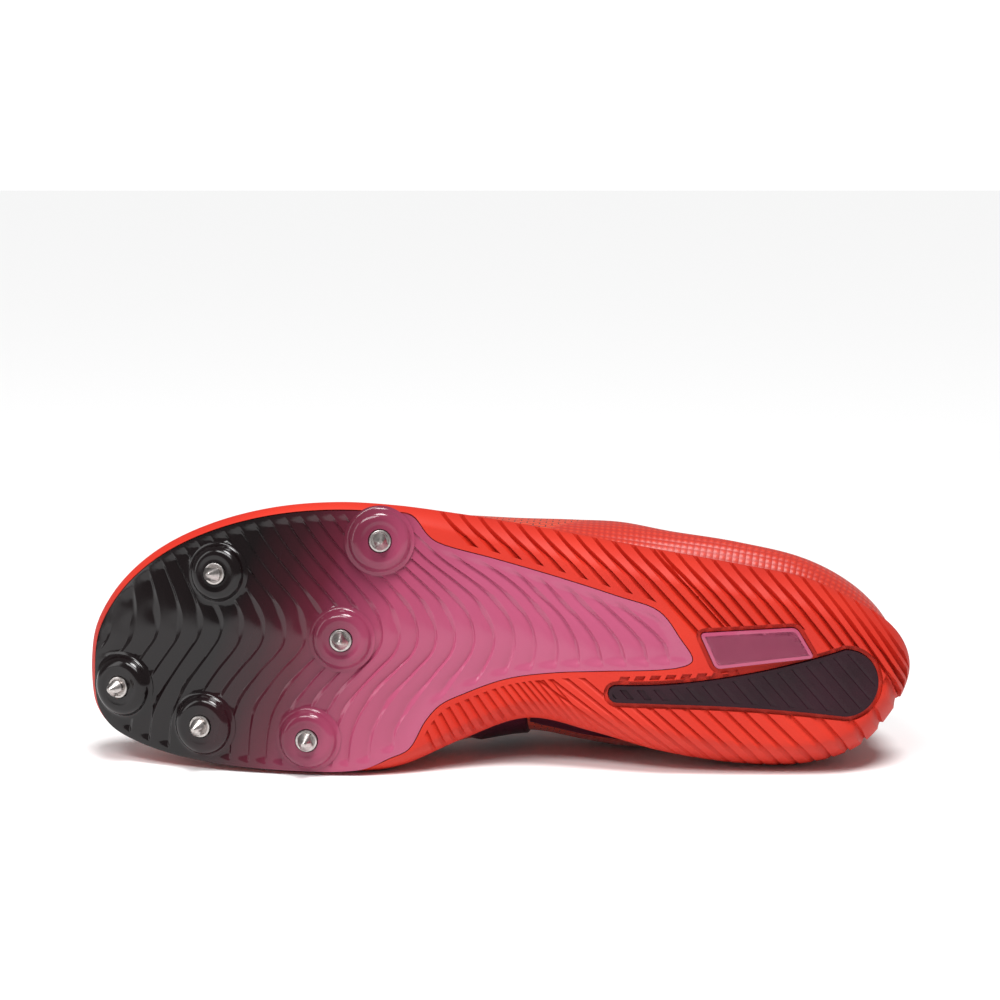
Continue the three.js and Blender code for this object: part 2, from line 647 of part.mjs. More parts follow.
// Upper: lines from the sole's rim to the top line, each a cubic curve with handles from the table
const LAST_ROW = TOPLINE.length - 1;
const footArcs = TOPLINE.map((row, i) => ({
  row: i,
  lateral: rimSample(1, 'x', row.foot * LENGTH).arc,
  medial: rimSample(-1, 'x', row.foot * LENGTH).arc,
}));
const handles = HANDLES.map((row, i) => ({ ...row, row: i }));
const handle = (key, r) => COLLAR_HEIGHT * along(handles, key, r, 'row');
const topPoint = (side, r) => topCurve.getPoint(((side > 0 ? r : 2 * LAST_ROW - r) / (2 * LAST_ROW)) % 1);
function footPoint(side, r, inset) {
  const arc = along(footArcs, side > 0 ? 'lateral' : 'medial', r, 'row');
  const { p, normal } = rimSample(side, 'arc', arc);
  p.addScaledVector(normal, -inset);
  return { p, normal };
}
function upperPoint(side, r, t) {
  const { p: start, normal } = footPoint(side, r, LIP + CUP_CLEAR);
  start.z = wallTop(start.x) + GAP;
  const top = topPoint(side, r);
  const out = handle('out', r) + (side < 0 ? handle('medial', r) : 0);
  const first = start.clone().addScaledVector(normal, out);
  first.z += handle('up', r);
  const away = start.clone().addScaledVector(normal, HANDLE_AIM).sub(top).setZ(0).normalize();
  const second = top.clone().addScaledVector(away, handle('over', r));
  second.z -= handle('under', r);
  return new THREE.CubicBezierCurve3(start, first, second, top).getPoint(t);
}
const UPPER_STEPS = [0.08, 0.18, 0.31, 0.45, 0.6, 0.74, 0.86, 0.94, 1];
const UPPER_SIDE_COLUMNS = 31;
const COLLAR_END = [5.2, 6.7];
const EYESTAY_ROW = 6.6;
const EYESTAY_LAYERS = 3;
function upperColumn(side, r) {
  const inner = footPoint(side, r, LIP + CUP_CLEAR + SEAM_MARGIN).p;
  inner.z = bed(inner.x) + BED_CLEAR;
  const corner = footPoint(side, r, LIP + CUP_CLEAR).p;
  corner.z = bed(corner.x) + BED_CLEAR;
  return [inner, corner, upperPoint(side, r, 0), ...UPPER_STEPS.map((t) => upperPoint(side, r, t))];
}
// Wall at a place of the upper: the collar is padded towards its top line
function upperWall(r, t) {
  const collar = 1 - smooth(r, ...COLLAR_END);
  return UPPER_WALL + COLLAR_PAD * collar * smooth(t, 0.45, 0.8) * (1 - 0.45 * smooth(t, 0.9, 1));
}
function upperGrid() {
  const columns = [];
  const count = 2 * UPPER_SIDE_COLUMNS;
  for (let i = 0; i < count; i++) {
    const side = i <= UPPER_SIDE_COLUMNS ? 1 : -1;
    const k = side > 0 ? i : count - i;
    const r = (LAST_ROW * k) / UPPER_SIDE_COLUMNS;
    columns.push({ r, points: upperColumn(side, r) });
  }
  return columns;
}
function gridNormal(columns, i, j) {
  const count = columns.length;
  const last = columns[0].points.length - 1;
  const around = columns[(i + 1) % count].points[j].clone().sub(columns[(i + count - 1) % count].points[j]);
  const line = columns[i].points[Math.min(j + 1, last)].clone().sub(columns[i].points[Math.max(j - 1, 0)]);
  return line.cross(around).normalize();
}
function upperSolid() {
  const columns = upperGrid();
  const count = columns.length;
  const steps = [0, 0, 0, ...UPPER_STEPS];
  const points = [];
  const layers = steps.length;
  for (let j = 0; j < layers; j++) {
    for (let i = 0; i < count; i++) {
      const step = columns[i].r > EYESTAY_ROW && j >= layers - EYESTAY_LAYERS ? EYESTAY_STEP : 0;
      points.push(columns[i].points[j].clone().addScaledVector(gridNormal(columns, i, j), step));
    }
  }
  for (let j = layers - 1; j >= 0; j--) {
    for (let i = 0; i < count; i++) {
      if (j < 2) {
        const side = i <= UPPER_SIDE_COLUMNS ? 1 : -1;
        const inset = LIP + CUP_CLEAR + (j ? UPPER_WALL : SEAM_MARGIN);
        const { p } = footPoint(side, columns[i].r, inset);
        points.push(p.setZ(bed(p.x) + BED_CLEAR + UPPER_WALL));
        continue;
      }
      const wall = upperWall(columns[i].r, steps[j]);
      points.push(columns[i].points[j].clone().addScaledVector(gridNormal(columns, i, j), -wall));
    }
  }
  const triangles = [];
  for (let ring = 0; ring < 2 * layers; ring++) {
    triangles.push(...bandBetween(ring * count, ((ring + 1) % (2 * layers)) * count, count));
  }
  return geometryFrom(points, triangles);
}

// Insole on the upper's seam margin
const INSOLE_COLUMNS = 25;
function insoleGeometry() {
  const count = 2 * INSOLE_COLUMNS;
  const rest = BED_CLEAR + UPPER_WALL + 2 * GAP;
  const points = [];
  for (const lift of [rest, rest + INSOLE_THICKNESS]) {
    for (let i = 0; i < count; i++) {
      const arc = (Math.min(i, count - i) / INSOLE_COLUMNS) * sideLength(1);
      const { p, normal } = rimAt(i <= INSOLE_COLUMNS ? arc : -facingArc(arc));
      p.addScaledVector(normal, -(LIP + CUP_CLEAR + UPPER_WALL + INSOLE_CLEAR));
      p.z = bed(p.x) + lift;
      points.push(p);
    }
  }
  const triangles = bandBetween(0, count, count);
  triangles.push(...capOver(points, 0, count, 1, (x) => bed(x) + rest, false));
  triangles.push(...capOver(points, count, count, 1, (x) => bed(x) + rest + INSOLE_THICKNESS, true));
  return geometryFrom(points, triangles);
}

// Tongue under the throat, with a tab that rises past its top
const THROAT_TOP = 7.25;
const THROAT_END = 12.4;
const TONGUE_CLEAR = 0.5;
const TONGUE_CELLS = [10, 8];
const TAB_ROWS = 2;
const topSlope = (r) => handle('under', r) / handle('over', r);
const throatHalf = (r) => 0.5 * topPoint(1, r).distanceTo(topPoint(-1, r));
const crown = (r, across) => 0.55 * throatHalf(r) * topSlope(r) * (1 - (across / throatHalf(r)) ** 2);
function tongueGeometry() {
  const [rows, across] = TONGUE_CELLS;
  const points = [];
  for (const lower of [1, 0]) {
    for (let i = 0; i <= rows; i++) {
      const past = Math.max(TAB_ROWS - i, 0) / TAB_ROWS;
      const r = THREE.MathUtils.lerp(THROAT_TOP, THROAT_END, Math.max(i - TAB_ROWS, 0) / (rows - TAB_ROWS));
      const lateral = topPoint(1, r);
      const medial = topPoint(-1, r);
      const tucked = past ? -0.3 : -0.2 + 1.2 * smooth(r, THROAT_TOP, THROAT_TOP + 1);
      const half = throatHalf(r) + TONGUE_OVERLAP * tucked;
      for (let j = 0; j <= across; j++) {
        const side = (2 * j) / across - 1;
        const p = lateral.clone().lerp(medial, 0.5);
        p.y += half * side;
        p.z += crown(r, half * side) - UPPER_WALL * Math.hypot(1, 1.5 * topSlope(r)) - TONGUE_CLEAR;
        p.x -= 0.8 * TONGUE_TAB * past;
        p.z += 0.6 * TONGUE_TAB * past;
        p.z -= lower * TONGUE_THICKNESS * (Math.abs(side) === 1 ? 0.5 : 1);
        p.x -= lower * 0.3 * TONGUE_THICKNESS;
        points.push(p);
      }
    }
  }
  return geometryFrom(points, boxedGrid(rows, across));
}

// Flat ribbon of rectangular section along points, its face towards `up` at each of them
function ribbon(points, ups, width, thickness) {
  const corners = [];
  const n = points.length;
  points.forEach((p, i) => {
    const way = points[Math.min(i + 1, n - 1)].clone().sub(points[Math.max(i - 1, 0)]).normalize();
    const up = ups[i].clone().addScaledVector(way, -ups[i].dot(way)).normalize();
    const across = way.clone().cross(up).multiplyScalar(width / 2);
    const lift = up.multiplyScalar(thickness / 2);
    for (const [a, b] of [[1, 1], [-1, 1], [-1, -1], [1, -1]]) {
      corners.push(p.clone().addScaledVector(across, a).addScaledVector(lift, b));
    }
  });
  const triangles = [];
  for (let i = 0; i + 1 < n; i++) triangles.push(...bandBetween(4 * i, 4 * i + 4, 4));
  triangles.push([0, 1, 2], [0, 2, 3]);
  const e = 4 * (n - 1);
  triangles.push([e, e + 2, e + 1], [e, e + 3, e + 2]);
  return geometryFrom(corners, triangles);
}

// Lace: crossings between the eyelets of the two sides, joined where they meet
const eyeletRow = (k) => THREE.MathUtils.lerp(THROAT_TOP + 0.2, THROAT_END - 0.9, k / (EYELET_PAIRS - 1));
function eyeletPoint(side, r) {
  return upperPoint(side, r, 1 - EYELET_INSET / (3 * handle('over', r)));
}
function laceSolid() {
  const lift = EYESTAY_STEP + LACE_CLEAR + LACE_THICKNESS / 2;
  const bar = (side, from, to) => {
    const at = (share) => THREE.MathUtils.lerp(from, to, share);
    const raised = (p, amount) => p.clone().setZ(p.z + amount);
    const middleRow = at(0.5);
    const middle = topPoint(1, middleRow).lerp(topPoint(-1, middleRow), 0.5);
    const places = [
      raised(eyeletPoint(side, at(-0.04)), lift),
      raised(topPoint(side, at(0.16)), lift + LACE_RISE),
      raised(middle, crown(middleRow, 0) + LACE_THICKNESS * (side > 0 ? 2.2 : 1)),
      raised(topPoint(-side, at(0.84)), lift + LACE_RISE),
      raised(eyeletPoint(-side, at(1.04)), lift),
    ];
    const lean = (p) => 0.5 * THREE.MathUtils.clamp((p.y - middle.y) / throatHalf(middleRow), -1, 1);
    const ups = places.map((p) => new THREE.Vector3(0.35, lean(p), 1));
    return solidFrom(ribbon(places, ups, LACE_WIDTH, LACE_THICKNESS));
  };
  let lace = bar(1, eyeletRow(EYELET_PAIRS - 1), eyeletRow(EYELET_PAIRS - 1));
  for (let k = 0; k + 1 < EYELET_PAIRS; k++) {
    lace = lace.add(bar(1, eyeletRow(k), eyeletRow(k + 1))).add(bar(-1, eyeletRow(k), eyeletRow(k + 1)));
  }
  return lace;
}

// Film over the outer face of the upper's medial side
function filmGeometry({ sole, top, shares, cells }) {
  const points = [];
  const step = 0.01;
  const { lerp } = THREE.MathUtils;
  for (const lift of [PATCH_CLEAR, PATCH_CLEAR + BAND_THICKNESS]) {
    for (let i = 0; i <= cells[0]; i++) {
      for (let j = 0; j <= cells[1]; j++) {
        const t = lerp(shares[0], shares[1], j / cells[1]);
        const r = lerp(lerp(sole[0], top[0], t), lerp(sole[1], top[1], t), i / cells[0]);
        const here = upperPoint(-1, r, t);
        const aroundStep = upperPoint(-1, r + step, t).sub(here);
        const upStep = upperPoint(-1, r, t + step).sub(here);
        const out = aroundStep.cross(upStep).normalize();
        points.push(here.addScaledVector(out, lift));
      }
    }
  }
  return geometryFrom(points, boxedGrid(cells[0], cells[1]));
}

// The solids of the shoe
const plateShape = plateOutline();
const padShape = padOutline();
const plaqueShape = plaqueOutline();
let foam = midsoleSolid().subtract(below(grown(plateShape, GAP), PLATE_THICKNESS + GAP));
for (const shape of [padShape, plaqueShape]) {
  foam = foam.subtract(below(grown(shape, CHANNEL_WIDTH), CHANNEL_DEPTH));
  foam = foam.subtract(below(grown(shape, GAP), PAD_DEPTH + GAP));
}
const padFace = (x, y) => under(x, y) - PAD_PROUD;
const padBack = (x, y) => under(x, y) + PAD_DEPTH;
const insert = (shape) => geometryOf(slabOver(shape, padFace, padBack));

// Densities in grams a litre, for the centre of mass
const FOAM = 300;
const PLASTIC = 1100;
const RUBBER = 1200;
const STEEL = 7850;

const pieces = [
  { name: 'midsole', geometry: geometryOf(foam), color: '#ef3b22', roughness: 0.75, density: FOAM },
  { name: 'spike_plate', geometry: plateGeometry(), color: '#5a2335', roughness: 0.15, density: PLASTIC },
  { name: 'heel_pad', geometry: insert(padShape), color: '#3a0d20', roughness: 0.6, density: RUBBER },
  { name: 'heel_plaque', geometry: insert(plaqueShape), color: '#c9577f', roughness: 0.25, density: PLASTIC },
  { name: 'upper', geometry: upperSolid(), color: '#fa5a32', roughness: 0.8, density: FOAM },
  { name: 'tongue', geometry: tongueGeometry(), color: '#f0512e', roughness: 0.85, density: FOAM },
  { name: 'insole', geometry: insoleGeometry(), color: '#3a2a30', roughness: 0.9, density: FOAM },
  { name: 'lace', geometry: geometryOf(laceSolid()), color: '#f4553a', roughness: 0.8, density: FOAM },
  { name: 'arch_band', geometry: filmGeometry(BAND), color: '#3a0d20', roughness: 0.6, density: FOAM },
  { name: 'arch_strip', geometry: filmGeometry(STRIP), color: '#3a0d20', roughness: 0.6, density: FOAM },
  ...SPIKES.map((spike, i) => ({
    name: `spike_${i + 1}`,
    geometry: pinSolid(spike),
    color: '#a09896',
    roughness: 0.3,
    metalness: 1,
    density: STEEL,
  })),
];

// The shoe turned on its side, toe to -X and sole to -Y, then let down on the hull face under its weight
const laid = new THREE.Matrix4().set(-1, 0, 0, 0, 0, 0, 1, 0, 0, 1, 0, 0, 0, 0, 0, 1);
function weightedCentre() {
  const sum = new THREE.Vector3();
  let mass = 0;
  const [a, b, c] = [new THREE.Vector3(), new THREE.Vector3(), new THREE.Vector3()];
  for (const piece of pieces) {
    const { index, attributes } = piece.geometry;
    for (let i = 0; i < index.count; i += 3) {
      a.fromBufferAttribute(attributes.position, index.getX(i));
      b.fromBufferAttribute(attributes.position, index.getX(i + 1));
      c.fromBufferAttribute(attributes.position, index.getX(i + 2));
      const weight = (piece.density * a.dot(b.clone().cross(c))) / 6;
      sum.addScaledVector(a.clone().add(b).add(c), weight / 4);
      mass += weight;
    }
  }
  return sum.divideScalar(mass);
}
function restingTurn() {
  const points = pieces.flatMap((piece) => {
    const position = piece.geometry.attributes.position;
    return Array.from({ length: position.count }, (_, i) =>
      new THREE.Vector3().fromBufferAttribute(position, i).applyMatrix4(laid),
    );
  });
  const centre = weightedCentre().applyMatrix4(laid);
  const hull = new ConvexHull().setFromPoints(points);
  let best = null;
  for (const face of hull.faces) {
    if (face.normal.z > -0.7) continue;
    const foot = centre.clone().addScaledVector(face.normal, -face.distanceToPoint(centre));
    let edge = face.edge;
    let inside = Infinity;
    do {
      const from = edge.tail().point;
      const to = edge.head().point;
      const inward = face.normal.clone().cross(to.clone().sub(from)).normalize();
      inside = Math.min(inside, inward.dot(foot.clone().sub(from)));
      edge = edge.next;
    } while (edge !== face.edge);
    if (!best || inside > best.inside) best = { inside, normal: face.normal.clone() };
  }
  return new THREE.Quaternion().setFromUnitVectors(best.normal, new THREE.Vector3(0, 0, -1));
}

const shoe = new THREE.Group();
for (const piece of pieces) {
  const material = new THREE.MeshStandardMaterial({
    color: piece.color,
    roughness: piece.roughness,
    metalness: piece.metalness ?? 0,
  });
  const mesh = new THREE.Mesh(piece.geometry, material);
  mesh.name = piece.name;
  shoe.add(mesh);
}
const rest = new THREE.Matrix4().makeRotationFromQuaternion(restingTurn()).multiply(laid);
const ahead = new THREE.Vector3(1, 0, 0).transformDirection(rest);
const straight = new THREE.Matrix4().makeRotationZ(-Math.atan2(-ahead.y, -ahead.x));
shoe.applyMatrix4(straight.multiply(rest));

const part = new THREE.Group();
part.add(shoe);
part.updateMatrixWorld(true);
const bounds = new THREE.Box3().setFromObject(part, true);
const middle = bounds.getCenter(new THREE.Vector3());
shoe.position.sub(new THREE.Vector3(middle.x, middle.y, bounds.min.z));

export default part;
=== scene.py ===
import json
from math import ceil, cos, hypot, pi, radians, sin

import bpy
import numpy as np
from mathutils import Matrix, Vector


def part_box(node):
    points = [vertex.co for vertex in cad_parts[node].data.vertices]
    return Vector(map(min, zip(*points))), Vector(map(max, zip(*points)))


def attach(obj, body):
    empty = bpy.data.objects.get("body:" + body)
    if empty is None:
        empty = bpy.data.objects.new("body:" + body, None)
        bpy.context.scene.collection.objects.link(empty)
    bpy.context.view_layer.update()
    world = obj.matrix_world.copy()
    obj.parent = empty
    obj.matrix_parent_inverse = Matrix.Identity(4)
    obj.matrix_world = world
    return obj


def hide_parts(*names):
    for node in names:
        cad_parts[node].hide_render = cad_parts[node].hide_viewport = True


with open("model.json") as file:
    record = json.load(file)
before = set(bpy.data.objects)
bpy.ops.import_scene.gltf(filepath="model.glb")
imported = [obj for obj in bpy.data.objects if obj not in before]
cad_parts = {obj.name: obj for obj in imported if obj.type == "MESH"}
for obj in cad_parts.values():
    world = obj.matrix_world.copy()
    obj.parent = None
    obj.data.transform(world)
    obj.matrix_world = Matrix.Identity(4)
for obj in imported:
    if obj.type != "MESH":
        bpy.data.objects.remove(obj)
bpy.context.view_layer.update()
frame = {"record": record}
bpy.ops.object.select_all(action="DESELECT")

# The shoe's own frame, in millimetres: x from the heel's back to the toe, y to the lateral side, z up
# from the sole. A left shoe, so seen from under the sole with the toe to the left its medial side is low.
shoe = {
    "length": 290,
    "ballWidth": 94,
    "wallHeight": 26,
    "toeSpring": 28,
    "archLift": 9,
    "heelBevel": 7,
    "collarHeight": 79,
    "camber": 1.6,
    "edgeInset": 10,
    "lip": 3,
    "lipRound": 0.7,
    "cupClear": 0.7,
    "bedClear": 0.5,
    "gap": 0.3,
}
length, ballWidth = shoe["length"], shoe["ballWidth"]

# Widest line of the foam: place in lengths, lateral and medial side in ball widths
outline = [
    (0, -0.128, -0.128),
    (0.006, -0.051, -0.207),
    (0.024, 0.027, -0.298),
    (0.062, 0.112, -0.415),
    (0.124, 0.207, -0.478),
    (0.207, 0.264, -0.479),
    (0.303, 0.321, -0.431),
    (0.386, 0.368, -0.362),
    (0.465, 0.414, -0.311),
    (0.545, 0.462, -0.382),
    (0.621, 0.502, -0.468),
    (0.69, 0.517, -0.483),
    (0.766, 0.498, -0.479),
    (0.838, 0.441, -0.464),
    (0.9, 0.353, -0.434),
    (0.945, 0.248, -0.394),
    (0.976, 0.134, -0.346),
    (0.995, 0.013, -0.268),
    (1, -0.144, -0.144),
]

# Foam wall and foot bed in wall heights, inset of the bottom edge in edge insets, along the length
wallRows = [
    (0, 1.08, 0.64, 0.95),
    (0.15, 0.96, 0.62, 1),
    (0.32, 0.9, 0.6, 1),
    (0.46, 0.74, 0.47, 0.85),
    (0.58, 0.58, 0.33, 0.55),
    (0.69, 0.48, 0.28, 0.38),
    (0.85, 0.43, 0.27, 0.36),
    (1, 0.46, 0.27, 0.42),
]


def along(rows, column, place):
    table = np.array(rows, float)
    at, value = table[:, 0], table[:, column]
    last = len(at) - 1
    place = np.asarray(place, float)
    i = np.searchsorted(at[1:-1], place)

    def slope(j):
        before, after = np.maximum(j - 1, 0), np.minimum(j + 1, last)
        return (value[after] - value[before]) / (at[after] - at[before])

    span = at[i + 1] - at[i]
    t = np.clip((place - at[i]) / span, 0, 1)
    h = t * t * (3 - 2 * t)
    inner = t * (1 - t) * span * (slope(i) * (1 - t) - slope(i + 1) * t)
    return value[i] * (1 - h) + value[i + 1] * h + inner


# Closed centripetal curve through points, at shares of a turn
def closedCurve(points, share):
    count = len(points)
    place = np.mod(share, 1) * count
    i = np.floor(place).astype(int)
    w = (place - i)[:, None]
    a, b, c, d = (points[(i + k) % count] for k in (-1, 0, 1, 2))
    spanA, spanB, spanC = (np.sqrt(np.linalg.norm(q - p, axis=1))[:, None] for p, q in ((a, b), (b, c), (c, d)))
    startWay = ((b - a) / spanA - (c - a) / (spanA + spanB) + (c - b) / spanB) * spanB
    endWay = ((c - b) / spanB - (d - b) / (spanB + spanC) + (d - c) / spanC) * spanB
    cubic = 2 * b - 2 * c + startWay + endWay
    return b + startWay * w + (3 * c - 3 * b - 2 * startWay - endWay) * w**2 + cubic * w**3


def twoSided(rows, heights):
    rows = np.array(rows, float)
    lateral = np.column_stack([rows[:, 0] * length, rows[:, 1] * ballWidth, heights])
    medial = np.column_stack([rows[:, 0] * length, rows[:, 2] * ballWidth, heights])
    return np.vstack([lateral, medial[-2:0:-1]])


rimPoints = twoSided(outline, np.zeros(len(outline)))
rimSteps = 600


# One side of the rim from the heel's back to the toe: x, y, outward normal and arc length
def rimSide(side):
    share = np.linspace(0, 0.5, rimSteps + 1)
    turn = share if side > 0 else (1 - share) % 1
    p = closedCurve(rimPoints, turn)
    nudge = 1e-4
    way = closedCurve(rimPoints, np.clip(turn + nudge, 0, 1)) - closedCurve(rimPoints, np.clip(turn - nudge, 0, 1))
    way /= np.linalg.norm(way, axis=1)[:, None]
    arc = np.concatenate([[0], np.cumsum(np.linalg.norm(np.diff(p, axis=0), axis=1))])
    return {"x": p[:, 0], "y": p[:, 1], "nx": -way[:, 1], "ny": way[:, 0], "arc": arc}


rims = {1: rimSide(1), -1: rimSide(-1)}
lateralArc, medialArc = rims[1]["arc"][-1], rims[-1]["arc"][-1]


# Points and outward normals of the rim at signed arc lengths from the heel's back, lateral side positive
def rimAt(arc):
    arc = np.asarray(arc, float)
    picked = []
    for key in ("x", "y", "nx", "ny"):
        sides = [np.interp(np.abs(arc), rims[s]["arc"], rims[s][key]) for s in (1, -1)]
        picked.append(np.where(arc >= 0, sides[0], sides[1]))
    p, n = np.stack(picked[:2], -1), np.stack(picked[2:], -1)
    return p, n / np.linalg.norm(n, axis=-1, keepdims=True)


def rimArc(side, x):
    return side * np.interp(x, rims[side]["x"], rims[side]["arc"])


def facingArc(arc):
    return np.interp(np.interp(arc, rims[1]["arc"], rims[1]["x"]), rims[-1]["x"], rims[-1]["arc"])


def smoothstep(value, low, high):
    t = np.clip((value - low) / (high - low), 0, 1)
    return t * t * (3 - 2 * t)


ballAt, heelFront, bevelLength = 0.66 * length, 0.28 * length, 0.115 * length


def ground(x):
    x = np.asarray(x, float)
    toe = shoe["toeSpring"] * np.maximum((x - ballAt) / (length - ballAt), 0) ** 1.9
    arch = shoe["archLift"] * np.sin(pi * np.clip((x - heelFront) / (ballAt - heelFront), 0, 1)) ** 2
    bevel = shoe["heelBevel"] * np.maximum(1 - x / bevelLength, 0) ** 2
    return toe + arch + bevel


def under(x, y):
    lateral = np.interp(x, rims[1]["x"], rims[1]["y"])
    medial = np.interp(x, rims[-1]["x"], rims[-1]["y"])
    across = (2 * y - lateral - medial) / np.maximum(lateral - medial, 1)
    camber = shoe["camber"] * smoothstep(x, heelFront, ballAt) * np.minimum(across**2, 1.2)
    return ground(x) + camber


def wallTop(x):
    return ground(x) + shoe["wallHeight"] * along(wallRows, 1, x / length)


def bed(x):
    return ground(x) + shoe["wallHeight"] * along(wallRows, 2, x / length)


def edgeInset(x):
    return shoe["edgeInset"] * along(wallRows, 3, x / length)


# Insole as the model has it: its box and the heel tread's normal place the shoe's frame in the row's
insole = {"columns": 25, "thickness": 3, "clear": 1.8, "seam": 0.6}
upperWall = {"plain": 1.9, "pad": 3.4, "seamMargin": 5}


def insoleRing(count, grow=0.0):
    arc = np.minimum(np.arange(count), count - np.arange(count)) * 2 / count * lateralArc
    arc = np.where(np.arange(count) <= count // 2, arc, -facingArc(arc))
    p, n = rimAt(arc)
    return p - n * (shoe["lip"] + shoe["cupClear"] + upperWall["plain"] + insole["clear"] - grow)


def insoleRest(x):
    return bed(x) + shoe["bedClear"] + upperWall["plain"] + insole["seam"]


def findPlace():
    up = -Vector(frame["record"]["mounts"][0]["axis"]).normalized()
    ahead = Vector((-1, 0, up.x / up.z)).normalized()
    turn = np.array([ahead, up.cross(ahead), up]).T
    ring = insoleRing(2 * insole["columns"])
    rest = insoleRest(ring[:, 0])
    points = np.vstack([np.column_stack([ring, rest]), np.column_stack([ring, rest + insole["thickness"]])])
    turned = points @ turn.T / 1000
    low, high = (np.array(corner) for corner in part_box("insole"))
    return turn, (low + high - turned.min(0) - turned.max(0)) / 2


turnToRow, shiftToRow = findPlace()


def toRow(points):
    return np.asarray(points, float) @ turnToRow.T / 1000 + shiftToRow


# The shoe's frame as a matrix: a piece modelled on it in metres is laid into the row with it
shoeToRow = Matrix.Translation(Vector(shiftToRow)) @ Matrix(turnToRow.tolist()).to_4x4()


def meshObject(name, points, faces, inRow=False):
    mesh = bpy.data.meshes.new(name)
    mesh.from_pydata((points if inRow else toRow(points)).tolist(), [], [tuple(int(i) for i in f) for f in faces])
    piece = bpy.data.objects.new(name, mesh)
    bpy.context.scene.collection.objects.link(piece)
    return piece


def makeActive(piece):
    bpy.ops.object.select_all(action="DESELECT")
    piece.select_set(True)
    bpy.context.view_layer.objects.active = piece


def applyModifier(piece, kind, **settings):
    makeActive(piece)
    modifier = piece.modifiers.new(kind.lower(), kind)
    for key, value in settings.items():
        setattr(modifier, key, value)
    bpy.ops.object.modifier_apply(modifier=modifier.name)
    return piece


def carve(piece, tool, operation="DIFFERENCE"):
    applyModifier(piece, "BOOLEAN", operation=operation, solver="MANIFOLD", object=tool)
    bpy.data.objects.remove(tool)
    return piece


def smoothByAngle(piece, angle):
    makeActive(piece)
    bpy.ops.object.shade_smooth_by_angle(angle=radians(angle))
    piece.select_set(False)


def bandFaces(lower, upper, count):
    return [(lower + i, lower + (i + 1) % count, upper + (i + 1) % count, upper + i) for i in range(count)]


# Closed solid from two grids of points, the outer faces of the first looking away from the second
def gridSolid(name, near, far, inRow=False):
    rows, columns = near.shape[:2]
    points = np.vstack([near.reshape(-1, 3), far.reshape(-1, 3)])
    layer = rows * columns
    faces = []
    for i in range(rows - 1):
        for j in range(columns - 1):
            a, b, c, d = i * columns + j, i * columns + j + 1, (i + 1) * columns + j + 1, (i + 1) * columns + j
            faces.append((a, b, c, d))
            faces.append((a + layer, d + layer, c + layer, b + layer))
    edge = [j for j in range(columns)]
    edge += [i * columns + columns - 1 for i in range(1, rows)]
    edge += [(rows - 1) * columns + j for j in range(columns - 2, -1, -1)]
    edge += [i * columns for i in range(rows - 2, 0, -1)]
    for k, a in enumerate(edge):
        b = edge[(k + 1) % len(edge)]
        faces.append((b, a, a + layer, b + layer))
    return meshObject(name, points, faces, inRow)


# Upright prism over a clockwise outline of the sole's plan, and the outline moved out by a distance
def prism(shape, low=-30.0, high=60.0):
    count = len(shape)
    points = np.vstack([np.column_stack([shape, np.full(count, z)]) for z in (low, high)])
    faces = [(i, i + count, (i + 1) % count + count, (i + 1) % count) for i in range(count)]
    faces += [tuple(range(count - 1, -1, -1)), tuple(range(count, 2 * count))]
    tool = meshObject("prism", points, faces)
    makeActive(tool)
    bpy.ops.object.mode_set(mode="EDIT")
    bpy.ops.mesh.select_all(action="SELECT")
    bpy.ops.mesh.quads_convert_to_tris(ngon_method="BEAUTY")
    bpy.ops.mesh.normals_make_consistent(inside=False)
    bpy.ops.object.mode_set(mode="OBJECT")
    return tool


def grown(shape, distance):
    way = np.roll(shape, -1, axis=0) - np.roll(shape, 1, axis=0)
    way /= np.linalg.norm(way, axis=1)[:, None]
    return shape + np.column_stack([-way[:, 1], way[:, 0]]) * distance


# Solid between two height functions inside an outline
def slabOver(name, shape, low, high, cell=3.0):
    corner, far = shape.min(0) - 1, shape.max(0) + 1
    counts = [max(int(ceil((far[k] - corner[k]) / cell)), 2) + 1 for k in (0, 1)]
    x, y = np.meshgrid(np.linspace(corner[0], far[0], counts[0]), np.linspace(corner[1], far[1], counts[1]))
    near = np.stack([x, y, low(x, y)], -1)
    slab = gridSolid(name, near.transpose(1, 0, 2), np.stack([x, y, high(x, y)], -1).transpose(1, 0, 2))
    return carve(slab, prism(shape), "INTERSECT")


def belowFace(shape, depth):
    return slabOver("tool", shape, lambda x, y: np.full(x.shape, -25.0), lambda x, y: under(x, y) + depth)


# Colours are sRGB hex values
def colour(code):
    parts = [int(code[i:i + 2], 16) / 255 for i in (1, 3, 5)]
    return (*[c / 12.92 if c <= 0.04045 else ((c + 0.055) / 1.055) ** 2.4 for c in parts], 1)


def addNode(material, kind, inputs=None, **settings):
    added = material.node_tree.nodes.new("ShaderNode" + kind)
    for key, value in settings.items():
        setattr(added, key, value)
    for key, value in (inputs or {}).items():
        if isinstance(value, bpy.types.NodeSocket):
            material.node_tree.links.new(value, added.inputs[key])
        else:
            added.inputs[key].default_value = value
    return added


def newMaterial(name, **surface):
    material = bpy.data.materials.new(name)
    material.use_nodes = True
    shader = material.node_tree.nodes["Principled BSDF"]
    for key, value in surface.items():
        shader.inputs[key.replace("_", " ")].default_value = value
    return material, shader


def feed(material, socket, value):
    material.node_tree.links.new(value, socket)


def ramp(material, factor, stops, interpolation="LINEAR"):
    added = addNode(material, "ValToRGB", {"Fac": factor})
    added.color_ramp.interpolation = interpolation
    elements = added.color_ramp.elements
    while len(elements) < len(stops):
        elements.new(0.5)
    for element, (place, code) in zip(elements, stops):
        element.position = place
        element.color = colour(code) if isinstance(code, str) else (code, code, code, 1)
    return added.outputs["Color"]



